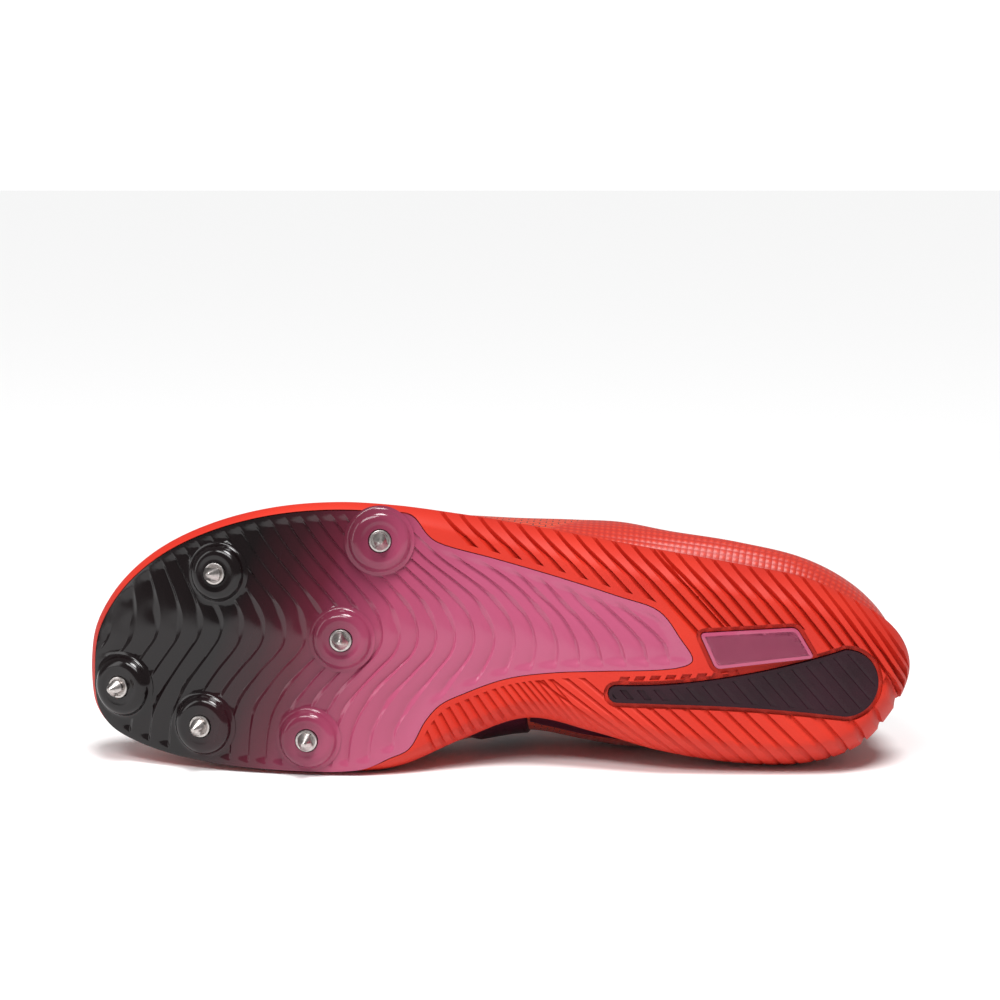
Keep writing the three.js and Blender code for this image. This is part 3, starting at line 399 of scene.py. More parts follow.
def tidyNormals(piece):
    makeActive(piece)
    bpy.ops.object.mode_set(mode="EDIT")
    bpy.ops.mesh.select_all(action="SELECT")
    bpy.ops.mesh.normals_make_consistent(inside=False)
    bpy.ops.object.mode_set(mode="OBJECT")
    return piece


def ready(piece, node, material):
    piece.data.materials.clear()
    piece.data.materials.append(material)
    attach(piece, "root")
    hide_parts(node)
    piece.select_set(False)


# Foam: moulded EVA with a fine matt skin, its tone varying a little in soft patches
def foamMaterial():
    material, shader = newMaterial("moulded EVA foam", Roughness=0.62, IOR=1.45)
    place = addNode(material, "TexCoord").outputs["Object"]
    cloud = addNode(material, "TexNoise", {"Vector": place, "Scale": 28.0, "Detail": 3.0})
    feed(material, shader.inputs["Base Color"], ramp(material, cloud.outputs["Fac"], [(0.3, "#b61c07"), (0.7, "#c2260d")]))
    grain = addNode(material, "TexNoise", {"Vector": place, "Scale": 1600.0, "Detail": 2.0})
    bump = addNode(material, "Bump", {"Height": grain.outputs["Fac"], "Strength": 0.12, "Distance": 0.0003})
    feed(material, shader.inputs["Normal"], bump.outputs["Normal"])
    return material


# Plate: tinted nylon, injection moulded and polished; black at the toe, burgundy, then clear pink
def plateMaterial():
    material, shader = newMaterial("polished tinted nylon", Roughness=0.14, IOR=1.41)
    place = addNode(material, "SeparateXYZ", {"Vector": addNode(material, "TexCoord").outputs["Object"]})
    slant = addNode(material, "Math", {0: place.outputs["Z"], 1: plate["fadeSlant"], 2: place.outputs["X"]}, operation="MULTIPLY_ADD")
    fade = addNode(material, "MapRange", {"Value": slant.outputs[0], "From Min": plate["fadeFrom"], "From Max": plate["fadeTo"]})
    feed(material, shader.inputs["Base Color"], ramp(material, fade.outputs[0], plate["fade"]))
    return material


midsole = {
    "columns": 480,
    "across": 26,
    "lowerShares": (0.28, 0.6, 0.94),
    "channelWidth": 1.7,
    "channelDepth": 1.3,
    "pocket": 3.0,
    "borderWidth": 2.3,
}


# Inset from the rim and share of the wall's height at a step of the section: 0 at the bottom edge,
# 1 at the widest line, 2 under the lip, 3 on top of it
def wallSection(x, v):
    bend, widest, high = midsole["lowerShares"]
    t = np.clip(v, 0, 1)
    inset = edgeInset(x) * ((1 - t) ** 3 + 1.86 * (1 - t) ** 2 * t + 0.36 * (1 - t) * t**2)
    share = 3 * bend * (1 - t) * t**2 + widest * t**3
    t = np.clip(v - 1, 0, 1)
    inset = inset + shoe["lipRound"] * t * t
    share = share + (high - widest) * t
    turn = np.clip(v - 2, 0, 1) * pi / 2
    inset = inset + (shoe["lip"] - shoe["lipRound"]) * (1 - np.cos(turn))
    return inset, share + (1 - high) * np.sin(turn)


def wallPoint(arc, v):
    p, n = rimAt(arc)
    inset, share = wallSection(p[:, 0], v)
    p = p - n * inset[:, None]
    low = under(p[:, 0], p[:, 1])
    return np.column_stack([p, low + (wallTop(p[:, 0]) - low) * share])


# Cap over a closed ring whose points i and count - i face each other
def ringCap(points, ring, count, inner, height):
    half = count // 2
    rows = []
    for k in range(half + 1):
        if k in (0, half):
            rows.append([ring + k] * (inner + 2))
            continue
        left, right = points[ring + k], points[ring + count - k]
        row = [ring + k]
        for j in range(1, inner + 1):
            x, y = (left + (right - left) * j / (inner + 1))[:2]
            row.append(len(points))
            points.append(np.array([x, y, float(height(x, y))]))
        rows.append(row + [ring + count - k])
    faces = []
    for before, after in zip(rows, rows[1:]):
        for j in range(inner + 1):
            corners = []
            for corner in (before[j], before[j + 1], after[j + 1], after[j]):
                if corner not in corners:
                    corners.append(corner)
            if len(corners) > 2:
                faces.append(tuple(corners))
    return faces


def foamBlank():
    count = midsole["columns"]
    half = count // 2
    arc = np.minimum(np.arange(count), count - np.arange(count)) / half * lateralArc
    arc = np.where(np.arange(count) <= half, arc, -facingArc(arc))
    steps = [0, 0.1, 0.22, 0.34, 0.46, 0.58, 0.7, 0.82, 0.92, 1, 1.25, 1.5, 1.75, 2, 2.25, 2.5, 2.75, 3]
    rings = [wallPoint(arc, np.full(count, float(v))) for v in steps]
    bedRing = rings[-1].copy()
    bedRing[:, 2] = bed(bedRing[:, 0])
    rings.append(bedRing)
    points = list(np.vstack(rings))
    faces = []
    for r in range(len(rings) - 1):
        faces += bandFaces(r * count, (r + 1) * count, count)
    faces += ringCap(points, 0, count, midsole["across"], under)
    faces += ringCap(points, (len(rings) - 1) * count, count, 8, lambda x, y: bed(x))
    return tidyNormals(meshObject("foam_midsole", np.array(points), faces))


# Nearest place on the rim: signed arc length, and how far inside it a point of the plan lies
rimPlan = np.vstack([np.column_stack([rims[s]["x"], rims[s]["y"], s * rims[s]["arc"]])[::2] for s in (1, -1)])


def rimNear(x, y):
    flat = np.column_stack([np.ravel(x), np.ravel(y)])
    nearest = np.array([np.argmin(((rimPlan[:, :2] - p) ** 2).sum(1)) for p in flat])
    arc = rimPlan[nearest, 2]
    for _ in range(2):
        p, n = rimAt(arc)
        heading = np.column_stack([n[:, 1], -n[:, 0]])
        arc = arc + ((flat - p) * heading).sum(1)
    p, n = rimAt(arc)
    return arc, ((p - flat) * n).sum(1)


# Skin of the foam over a place of the plan; past the rim, the place climbs the wall instead
def skin(x, y):
    x, y = np.ravel(x), np.ravel(y)
    arc, inside = rimNear(x, y)
    p, n = rimAt(arc)
    steps = np.linspace(0, 1, 60)
    curve = (1 - steps) ** 3 + 1.86 * (1 - steps) ** 2 * steps + 0.36 * (1 - steps) * steps**2
    v = np.interp(inside / edgeInset(p[:, 0]), curve[::-1], steps[::-1])
    _, share = wallSection(p[:, 0], v)
    share = share + np.maximum(-inside, 0) / (wallTop(p[:, 0]) - ground(p[:, 0]))
    plan = np.where((inside > 0)[:, None], np.column_stack([x, y]), p)
    low = under(plan[:, 0], plan[:, 1])
    return np.column_stack([plan, low + (wallTop(p[:, 0]) - low) * share]), inside, share


def skinNormal(x, y):
    step = 0.4
    wayX = skin(x + step, y)[0] - skin(x - step, y)[0]
    wayY = skin(x, y + step)[0] - skin(x, y - step)[0]
    out = -np.cross(wayX, wayY)
    return out / np.linalg.norm(out, axis=1)[:, None]


# Outlines on the sole, all clockwise seen from above
plate = {
    "thickness": 2.7,
    "sideInset": {1: (0.6, 2.4), -1: (0.69, 1)},
    "rear": [
        (0.66, -0.462),
        (0.631, -0.424),
        (0.608, -0.392),
        (0.588, -0.29),
        (0.57, -0.232),
        (0.541, -0.193),
        (0.491, -0.144),
        (0.435, -0.122),
        (0.379, -0.112),
        (0.28, -0.09),
        (0.27, -0.068),
        (0.285, 0.014),
        (0.309, 0.111),
        (0.359, 0.166),
        (0.498, 0.296),
        (0.57, 0.366),
        (0.582, 0.394),
    ],
    "columns": 18,
    "ridgeDepth": 1.0,
    "edgeMask": (1.6, 4.2),
    "bossMask": (0.4, 2.2),
    "fadeSlant": -0.375,
    "fadeFrom": -0.114,
    "fadeTo": -0.034,
    "fade": [(0, "#100a0b"), (0.2, "#2c1016"), (0.36, "#4e1826"), (0.5, "#702a40"), (0.68, "#98405c"), (1, "#a64c6a")],
}


def plateOutline():
    def edge(side, share, inset):
        start = plate["sideInset"][side][0]
        x = length * (start + (1 - start) * sin(share * pi / 2))
        p, n = rimAt(np.array([rimArc(side, x)]))
        return (p - n * inset)[0]

    columns = plate["columns"]
    lateral, medial = plate["sideInset"][1][1], plate["sideInset"][-1][1]
    points = [edge(1, i / columns, lateral) for i in range(columns + 1)]
    for i in range(columns - 1, -1, -1):
        share = i / columns
        points.append(edge(-1, share, medial + (lateral - medial) * share**4))
    points += [np.array([at * length, across * ballWidth]) for at, across in plate["rear"]]
    return closedCurve(np.array(points), np.arange(0, 1, 1 / (6 * len(points))))


pad = {
    "tip": (0.359, -0.197),
    "length": 93,
    "rise": 3.5,
    "tipRadius": 2.9,
    "heelRadius": 11.5,
    "proud": 0.4,
    "depth": 2.4,
    "columns": 40,
}


def padOutline():
    run = pad["length"] - pad["tipRadius"] - pad["heelRadius"]
    tip = (pad["tip"][0] * length, pad["tip"][1] * ballWidth)
    points = []

    def around(f, angle):
        radius = pad["tipRadius"] + (pad["heelRadius"] - pad["tipRadius"]) * f * f
        points.append((tip[0] - f * run + radius * cos(angle), tip[1] + pad["rise"] * f * f + radius * sin(angle)))

    columns = pad["columns"]
    for i in range(columns):
        around(i / columns, -pi / 2)
    for i in range(columns + 1):
        around(1, -pi / 2 - pi * i / columns)
    for i in range(columns - 1, -1, -1):
        around(i / columns, pi / 2)
    for i in range(1, 10):
        around(0, pi / 2 - pi * i / 10)
    return np.array(points)


plaque = {
    "corners": [(0.261, 0.03), (0.146, 0.047), (0.125, -0.064), (0.242, -0.102)],
    "round": 2,
    "rimWidth": 1.1,
    "rimHeight": 0.5,
}


def plaqueOutline(shrink=0.0):
    corners = np.array([(at * length, across * ballWidth) for at, across in plaque["corners"]])
    points = []
    for i, corner in enumerate(corners):
        before, after = corners[i - 1], corners[(i + 1) % 4]
        a = corner - (corner - before) / np.linalg.norm(corner - before) * plaque["round"]
        b = corner + (after - corner) / np.linalg.norm(after - corner) * plaque["round"]
        for t in np.linspace(0, 1, 9):
            points.append((1 - t) ** 2 * a + 2 * t * (1 - t) * corner + t * t * b)
    return grown(np.array(points)[::-1], -shrink)


plateShape, padShape, plaqueShape = plateOutline(), padOutline(), plaqueOutline()


def insideShape(points, shape):
    x, y = points[:, 0], points[:, 1]
    inside = np.zeros(len(points), bool)
    for (ax, ay), (bx, by) in zip(shape, np.roll(shape, -1, axis=0)):
        crosses = (ay > y) != (by > y)
        with np.errstate(divide="ignore", invalid="ignore"):
            inside ^= crosses & (x < (bx - ax) * (y - ay) / (by - ay) + ax)
    return inside


def shapeDistance(points, shape):
    nearest = np.full(len(points), 1e9)
    for a, b in zip(shape, np.roll(shape, -1, axis=0)):
        way = b - a
        t = np.clip(((points - a) @ way) / max(way @ way, 1e-9), 0, 1)
        nearest = np.minimum(nearest, np.linalg.norm(points - a - t[:, None] * way, axis=1))
    return nearest


# Grooves of the foam: each runs from beyond the rim inwards, and stops at the plate's border, at the
# plaque or at the pad. Its land ends in a small chamfer, then the face falls and rises steeply again.
grooves = {
    "lateral": {
        "side": 1,
        "places": [(15, 92, 6.2), (92, 170, 6.65)],
        "slopes": [(5, -0.62), (25, -0.68), (38, -0.73), (55, -0.8), (75, -0.83), (95, -0.9), (170, -0.9)],
        "depth": 2.0,
        "wall": (0.72, 0.93),
        "widths": (0.27, 0.47),
    },
    "heel": {
        "side": -1,
        "places": [(6, 108, 5.9)],
        "slopes": [(8, 0.74), (17, 0.8), (28, 1.0), (46, 1.0), (74, 1.15), (100, 1.4)],
        "depth": 1.15,
        "wall": (0.5, 0.85),
        "widths": (0.3, 0.42),
    },
    "arch": {
        "side": -1,
        "places": [(110, 172, 3.6)],
        "slopes": [(105, 0.9), (125, 0.8), (150, 0.6), (172, 0.4)],
        "depth": 0.9,
        "wall": (0.2, 0.5),
        "widths": (0.4, 0.5),
    },
    "profile": [(-0.06, 0.0), (0.06, 0.14), (0.84, 1.0), (1.0, 0.0)],
    "lift": 3.0,
    "step": 0.9,
}


def groovePath(family, place, reach):
    side = family["side"]
    p, n = rimAt(np.array([rimArc(side, place)]))
    way = np.array([along(family["slopes"], 1, place), -side])
    way = way / np.linalg.norm(way)
    return p[0] + np.asarray(reach)[:, None] * way


def grooveReach(family, place):
    reach = np.arange(-11, 75, grooves["step"])
    path = groovePath(family, place, reach)
    kept = len(reach)
    for shape, border in keepOuts:
        hit = np.nonzero(insideShape(path, shape) & (shapeDistance(path, shape) > 0.8) & (reach > 0))[0]
        if len(hit):
            kept = min(kept, hit[0] + 1)
    _, inside = rimNear(path[:, 0], path[:, 1])
    out = np.nonzero((inside < -5) & (reach > 5))[0]
    if len(out):
        kept = min(kept, out[0] + 1)
    return reach[(reach < reach[kept - 1] + 1e-6) & ((inside > -10) | (reach > 5))]


def sweepTool(name, sections, points, faces):
    count = len(sections[0])
    start = len(points)
    for section in sections:
        points.extend(section)
    for s in range(len(sections) - 1):
        faces += bandFaces(start + s * count, start + (s + 1) * count, count)
    faces.append(tuple(range(start + count - 1, start - 1, -1)))
    last = start + (len(sections) - 1) * count
    faces.append(tuple(range(last, last + count)))


def grooveTool(family):
    points, faces = [], []
    for low, high, pitch in family["places"]:
        for place in np.arange(low, high - 0.3 * pitch, pitch):
            reach = grooveReach(family, place)
            if len(reach) < 3:
                continue
            near, far = (groovePath(family, place - k * pitch, reach) for k in (0, 1))
            here, inside, share = skin(near[:, 0], near[:, 1])
            there = skin(far[:, 0], far[:, 1])[0]
            out = skinNormal(near[:, 0], near[:, 1])
            narrow, wide = family["widths"]
            width = narrow + (wide - narrow) * smoothstep(inside, 1.5, 7.5)
            depth = family["depth"] * (1 - 1.12 * smoothstep(share, *family["wall"]))
            sections = []
            for s in range(len(reach)):
                across = (there[s] - here[s]) * width[s]
                lowered = [here[s] + across * q - out[s] * depth[s] * d for q, d in grooves["profile"]]
                lift = out[s] * grooves["lift"]
                sections.append([lowered[0] + lift, *lowered, lowered[-1] + lift])
            sweepTool("groove", sections, points, faces)
    return tidyNormals(meshObject("groove_tool", np.array(points), faces))


keepOuts = [
    (grown(plateShape, midsole["borderWidth"]), 0),
    (grown(padShape, midsole["channelWidth"]), 0),
    (grown(plaqueShape, midsole["channelWidth"]), 0),
]


# Row of small slanting pits between the heel pad and the plate
pits = {"from": 38, "to": 102, "pitch": 5.3, "long": 3.3, "wide": 1.9, "slant": 0.5, "depth": 1.2}
pitLine = [(35, -11.2), (66, -11.4), (84, -12.2), (103, -13.2)]


def pitTool():
    points, faces = [], []
    for x in np.arange(pits["from"], pits["to"], pits["pitch"]):
        y = float(np.interp(x, *zip(*pitLine)))
        sections = []
        for q in (-0.5, 0.5):
            row = []
            for side, up in ((-0.5, -3), (0.5, -3), (0.42, 1), (-0.42, 1)):
                dx = pits["long"] * q - pits["slant"] * pits["wide"] * side
                lift = float(under(x, y)) + (pits["depth"] if up > 0 else up)
                row.append(np.array([x + dx, y + pits["wide"] * side, lift]))
            sections.append(row)
        sweepTool("pit", sections, points, faces)
    return tidyNormals(meshObject("pit_tool", np.array(points), faces))


def makeMidsole():
    foam = foamBlank()
    carve(foam, pitTool())
    for name in ("lateral", "heel", "arch"):
        tool = grooveTool(grooves[name])
        for shape, _ in keepOuts:
            carve(tool, prism(shape))
        carve(foam, tool)
    carve(foam, belowFace(grown(plateShape, shoe["gap"]), midsole["pocket"]))
    for shape in (padShape, plaqueShape):
        carve(foam, belowFace(grown(shape, midsole["channelWidth"]), midsole["channelDepth"]))
        carve(foam, belowFace(grown(shape, shoe["gap"]), pad["depth"] + shoe["gap"]))
    smoothByAngle(foam, 32)
    ready(foam, "midsole", foamMaterial())
    print("midsole", len(foam.data.polygons), "faces")


# Ridges of the plate: where each meets the sole's middle, and its shift towards the toe by the place
# across, read at eight stations. Each crest falls steeply on its toe side, and slowly on the other.
ridges = {
    "pitch": [(70, 6.4), (100, 7.9), (125, 7.5), (150, 6.7), (178, 6.1), (200, 6.8), (225, 7.4), (246, 7.2), (262, 8.9)],
    "from": 72.5,
    "to": 308,
    "bends": [
        (80, [(-14, -0.5), (-6, 0), (0, 1.6), (12, 15), (17, 19.5), (26, 30)]),
        (108, [(-16, -0.5), (-7.6, 0), (0, 2.2), (7.6, 7.3), (15.3, 14.3), (21.6, 20.3), (32, 31)]),
        (124, [(-20, 4), (-9.2, 1), (-3.8, 0), (1.3, 0.5), (8.3, 3.4), (14.6, 8.5), (21.6, 16), (27.7, 24.7), (36, 38)]),
        (138, [(-30, 17), (-20, 8), (-12, 3.7), (-5, 0.9), (0.7, 0), (7.6, 1.5), (15.3, 6.6), (21.6, 14.2), (29, 24.4), (36, 32), (44, 41)]),
        (170, [(-48, 25.5), (-42, 25), (-32, 23.5), (-24.8, 20.5), (-17, 15), (-9.5, 7.7), (-3.8, 2), (1.9, 0), (8.3, 0.75), (14, 3.3), (19.7, 8.4), (26, 14), (36, 23), (48, 32)]),
        (217, [(-48, 20.5), (-42, 20.3), (-29, 19.4), (-22, 17.5), (-14.6, 13), (-8.2, 7.9), (-3.8, 3.5), (0.7, 0.4), (7.6, 0), (12.7, 1.6), (18, 5.4), (23, 9.8), (28, 13.7), (34, 18), (41, 22), (48, 26)]),
        (245, [(-44, 21), (-36.5, 20.5), (-24.8, 18.8), (-16.5, 14.9), (-8.9, 9.9), (-1.9, 4.8), (3.2, 1.3), (9, 0), (16, 2.6), (23, 6), (29, 9.2), (33, 12), (44, 19)]),
        (270, [(-40, 20.5), (-32, 20), (-25, 18.5), (-17, 15), (-11.4, 12), (-6, 8.1), (-2, 5), (1.9, 2), (6.4, 0.5), (12.7, 0), (19, 0.8), (25, 2.2), (36, 5)]),
    ],
    "step": 0.8,
    "narrow": [(0, 0), (0.02, 0.1), (0.09, 0.86), (0.14, 1), (0.21, 0.86), (0.4, 0.5), (0.7, 0.2), (0.97, 0.03)],
    "wide": [(0, 0), (0.04, 0.12), (0.24, 0.86), (0.31, 1), (0.38, 0.86), (0.52, 0.5), (0.76, 0.2), (0.97, 0.03)],
    "sheer": 0.1,
}


def ridgeShift(station, across):
    shifts = [along([(b, s) for b, s in rows], 1, across) for _, rows in ridges["bends"]]
    places = np.array([place for place, _ in ridges["bends"]], float)
    i = np.clip(np.searchsorted(places, station) - 1, 0, len(places) - 2)
    t = np.clip((station - places[i]) / (places[i + 1] - places[i]), 0, 1)
    return shifts[i] * (1 - t) + shifts[i + 1] * t


spikes = {
    "seats": [
        (0.955, -0.177, 1.04, 30),
        (0.833, 0.259, 0.95, 13),
        (0.854, -0.307, 1.02, 52),
        (0.639, 0.381, 1.04, 47),
        (0.685, 0.021, 0.99, -52),
        (0.727, -0.349, 0.98, 62),
    ],
    "bossRadius": 10,
    "bossHeight": 3.4,
    "pinRadius": 3.8,
    "pinHeight": 6.2,
    "pinFlange": 0.6,
    "bodyRadius": 3,
    "cone": 2.2,
    "tipRadius": 0.6,
    "flats": 4.3,
    "seatDepth": 1.6,
    "sides": 64,
}


def platePlaces():
    station, places = float(ridges["from"]), []
    while station < ridges["to"]:
        places.append(station)
        station += float(np.interp(station, *zip(*ridges["pitch"])))
    return places


def ridgedFace():
    places = platePlaces()
    across = np.arange(-0.53 * ballWidth, 0.55 * ballWidth, ridges["step"])
    rows, depths = [], []
    for k, (place, following) in enumerate(zip(places, places[1:])):
        pitch = following - place
        middle = 0.5 * (np.sin(2.4 * k) + 1)
        lens = np.exp(-(((across - (14 + 6 * middle - 0.03 * place)) / 4.5) ** 2))
        lens = np.maximum(lens, 0.8 * np.exp(-(((across + 22 - 8 * middle) / 4) ** 2)))
        for (narrow, depth), (wide, _) in zip(ridges["narrow"], ridges["wide"]):
            station = place + pitch * (narrow + (wide - narrow) * lens)
            rows.append(station)
            depths.append(np.full(len(across), depth))
    points = np.zeros((len(rows), len(across), 3))
    for i, station in enumerate(rows):
        middle = float(np.mean(station))
        x = station + ridgeShift(middle, across)
        points[i, :, 0] = x
        points[i, :, 1] = across - 0.1 * ground(np.minimum(x, length))
    flat = points[:, :, :2].reshape(-1, 2)
    mask = smoothstep(np.where(insideShape(flat, plateShape), shapeDistance(flat, plateShape), 0), *plate["edgeMask"])
    for at, side, size, _ in spikes["seats"]:
        gap = np.hypot(flat[:, 0] - at * length, flat[:, 1] - side * ballWidth) - size * spikes["bossRadius"]
        mask = mask * smoothstep(gap, *plate["bossMask"])
    depth = np.array(depths).reshape(-1) * mask * plate["ridgeDepth"]
    x = np.minimum(points[:, :, 0], length + 4)
    points[:, :, 2] = under(x, points[:, :, 1]) + depth.reshape(x.shape)
    back = points.copy()
    back[:, :, 2] = 60.0
    return tidyNormals(gridSolid("spike_plate_ridged", points, back))


def seatFrame(at, across):
    x, y = at * length, across * ballWidth
    step = 0.5
    slopeX = float(under(x + step, y) - under(x - step, y)) / (2 * step)
    slopeY = float(under(x, y + step) - under(x, y - step)) / (2 * step)
    out = Vector((slopeX, slopeY, -1)).normalized()
    turn = Vector((0, 0, 1)).rotation_difference(out).to_matrix().to_4x4()
    return Matrix.Translation((x, y, float(under(x, y)))) @ turn


# Body turned round the Z axis from a profile of radii and heights, closed on the axis
def turned(name, profile, sides, place):
    points, faces = [], []
    ring = [k * 2 * pi / sides for k in range(sides)]
    for radius, height in profile[1:-1]:
        points += [place @ Vector((radius * cos(a), radius * sin(a), height)) for a in ring]
    for r in range(len(profile) - 3):
        faces += bandFaces(r * sides, (r + 1) * sides, sides)
    for row, start in ((profile[0], 0), (profile[-1], (len(profile) - 3) * sides)):
        points.append(place @ Vector((0, 0, row[1])))
        tip = len(points) - 1
        fan = [(start + k, start + (k + 1) % sides, tip) for k in range(sides)]
        faces += fan
    return tidyNormals(meshObject(name, np.array([tuple(p) for p in points]), faces))


# Half section of a boss in its own radii and heights, from inside the plate out and round to its top
bossProfile = [
    (0, -0.44),
    (0.9, -0.44),
    (1.16, -0.02),
    (1.1, 0.02),
    (1.05, 0.1),
    (1.02, 0.22),
    (0.995, 0.4),
    (0.96, 0.6),
    (0.91, 0.77),
    (0.84, 0.9),
    (0.76, 0.98),
    (0.68, 1.0),
    (0.62, 0.985),
    (0.56, 0.955),
    (0.5, 0.95),
    (0.42, 0.955),
    (0, 0.955),
]


def makePlate():
    ridged = ridgedFace()
    carve(ridged, belowFace(plateShape, plate["thickness"]), "INTERSECT")
    for at, across, size, _ in spikes["seats"]:
        radius, place = size * spikes["bossRadius"], seatFrame(at, across)
        profile = [(r * radius, h * spikes["bossHeight"]) for r, h in bossProfile]
        carve(ridged, turned("boss", profile, spikes["sides"], place), "UNION")
        hole = spikes["pinRadius"] + shoe["gap"]
        seat = spikes["bossHeight"] - spikes["seatDepth"]
        bore = [(0, seat), (hole, seat), (hole, 9), (0, 9)]
        carve(ridged, turned("bore", bore, spikes["sides"], place))
    ridged.name = "polished_plate"
    smoothByAngle(ridged, 38)
    ready(ridged, "spike_plate", plateMaterial())
    print("plate", len(ridged.data.polygons), "faces")


# Pins: bright turned steel with milled flats
def steelMaterial():
    material, shader = newMaterial("turned steel", Metallic=1.0, Roughness=0.32)
    place = addNode(material, "TexCoord").outputs["Object"]
    worn = addNode(material, "TexNoise", {"Vector": place, "Scale": 900.0, "Detail": 2.0})
    feed(material, shader.inputs["Base Color"], ramp(material, worn.outputs["Fac"], [(0.3, "#a7a09d"), (0.7, "#c3bdba")]))
    bump = addNode(material, "Bump", {"Height": worn.outputs["Fac"], "Strength": 0.1, "Distance": 0.0002})
    feed(material, shader.inputs["Normal"], bump.outputs["Normal"])
    return material


def makePins():
    steel = steelMaterial()
    foot = spikes["bossHeight"] - spikes["seatDepth"] + shoe["gap"]
    top = spikes["bossHeight"] + spikes["pinHeight"]
    rim = spikes["bossHeight"] + spikes["pinFlange"]
    for k, (at, across, _, angle) in enumerate(spikes["seats"]):
        place = seatFrame(at, across) @ Matrix.Rotation(radians(angle), 4, "Z")
        radius, body = spikes["pinRadius"], spikes["bodyRadius"]
        flange = [(0, foot), (radius, foot), (radius, rim - 0.35), (radius - 0.12, rim - 0.1), (radius - 0.35, rim)]
        flange += [(radius - 0.8, rim), (radius - 0.95, rim - 0.25), (0, rim - 0.25)]
        pin = turned(f"steel_pin_{k + 1}", flange, 48, place)
        core = [(0, foot), (body, foot), (body, top - spikes["cone"] - 1.5), (body - 0.25, top - spikes["cone"] - 1.2)]
        core += [(spikes["tipRadius"] + 0.3, top - 0.3), (spikes["tipRadius"], top), (0, top)]
        shank = turned("shank", core, 48, place)
        half = spikes["flats"] / 2
        corners = [(x, y, z) for z in (-20, 20) for x, y in ((-20, -half), (20, -half), (20, half), (-20, half))]
        sides = [(0, 1, 5, 4), (1, 2, 6, 5), (2, 3, 7, 6), (3, 0, 4, 7), (3, 2, 1, 0), (4, 5, 6, 7)]
        flats = meshObject("flats", np.array([tuple(place @ Vector(c)) for c in corners]), sides)
        carve(shank, tidyNormals(flats), "INTERSECT")
        carve(pin, shank, "UNION")
        applyModifier(pin, "BEVEL", width=0.00012, segments=2, limit_method="ANGLE", angle_limit=radians(35))
        smoothByAngle(pin, 40)
        ready(pin, f"spike_{k + 1}", steel)
    print("pins")


# Heel pad: moulded rubber, dark plum, satin, with fine slanting ribs
padRibs = {"pitch": 5.9, "slope": 0.85, "depth": 0.3, "slot": (3.6, 0.7, 0.8), "slotInset": 1.5}


def rubberMaterial():
    material, shader = newMaterial("moulded rubber", Roughness=0.45, IOR=1.34)
    place = addNode(material, "TexCoord").outputs["Object"]
    cloud = addNode(material, "TexNoise", {"Vector": place, "Scale": 60.0, "Detail": 4.0})
    feed(material, shader.inputs["Base Color"], ramp(material, cloud.outputs["Fac"], [(0.35, "#1e0610"), (0.7, "#280916")]))
    grain = addNode(material, "TexNoise", {"Vector": place, "Scale": 1900.0})
    bump = addNode(material, "Bump", {"Height": grain.outputs["Fac"], "Strength": 0.2, "Distance": 0.0003})
    feed(material, shader.inputs["Normal"], bump.outputs["Normal"])
    return material


def insert(name, shape, cell=1.5):
    face = lambda x, y: under(x, y) - pad["proud"]
    back = lambda x, y: under(x, y) + pad["depth"]
    return slabOver(name, shape, face, back, cell)


def makePad():
    rubber = insert("ribbed_heel_pad", padShape)
    run = {"side": -1, "slopes": [(0, padRibs["slope"]), (200, padRibs["slope"])]}
    points, faces = [], []
    low, high = padShape[:, 0].min(), padShape[:, 0].max()
    place = low - 20
    while place < high:
        base = np.array([place, padShape[:, 1].min() - 1])
        way = np.array([padRibs["slope"], 1.0]) / hypot(padRibs["slope"], 1)
        line = base + np.arange(0, 40, 2.0)[:, None] * way
        sections = []
        for x, y in line:
            z = float(under(x, y)) - pad["proud"]
            profile = [(0, 3), (0, 0), (0.4, -padRibs["depth"]), (2.4, 0), (2.4, 3)]
            sections.append([np.array([x - q, y, z - up]) for q, up in profile])
        sweepTool("rib", sections, points, faces)
        place += padRibs["pitch"]
    tool = tidyNormals(meshObject("rib_tool", np.array(points), faces))
    carve(tool, prism(grown(padShape, -1.3)), "INTERSECT")
    carve(rubber, tool)
    smoothByAngle(rubber, 30)
    ready(rubber, "heel_pad", rubberMaterial())
    print("pad")


def plaqueMaterial():
    material, shader = newMaterial("glossy moulded nylon", Roughness=0.24, IOR=1.53)
    place = addNode(material, "TexCoord").outputs["Object"]
    cloud = addNode(material, "TexNoise", {"Vector": place, "Scale": 90.0})
    feed(material, shader.inputs["Base Color"], ramp(material, cloud.outputs["Fac"], [(0.3, "#a04260"), (0.7, "#a84866")]))
    return material


def makePlaque():
    tile = insert("bare_plaque", plaqueShape, 2.0)
    inner = plaqueOutline(plaque["rimWidth"])
    floor = lambda x, y: under(x, y) - pad["proud"] + plaque["rimHeight"]
    carve(tile, slabOver("tool", inner, lambda x, y: np.full(x.shape, -25.0), floor, 2.0))
    applyModifier(tile, "BEVEL", width=0.0002, segments=2, limit_method="ANGLE", angle_limit=radians(40))
    smoothByAngle(tile, 40)
    ready(tile, "heel_plaque", plaqueMaterial())
    print("plaque")


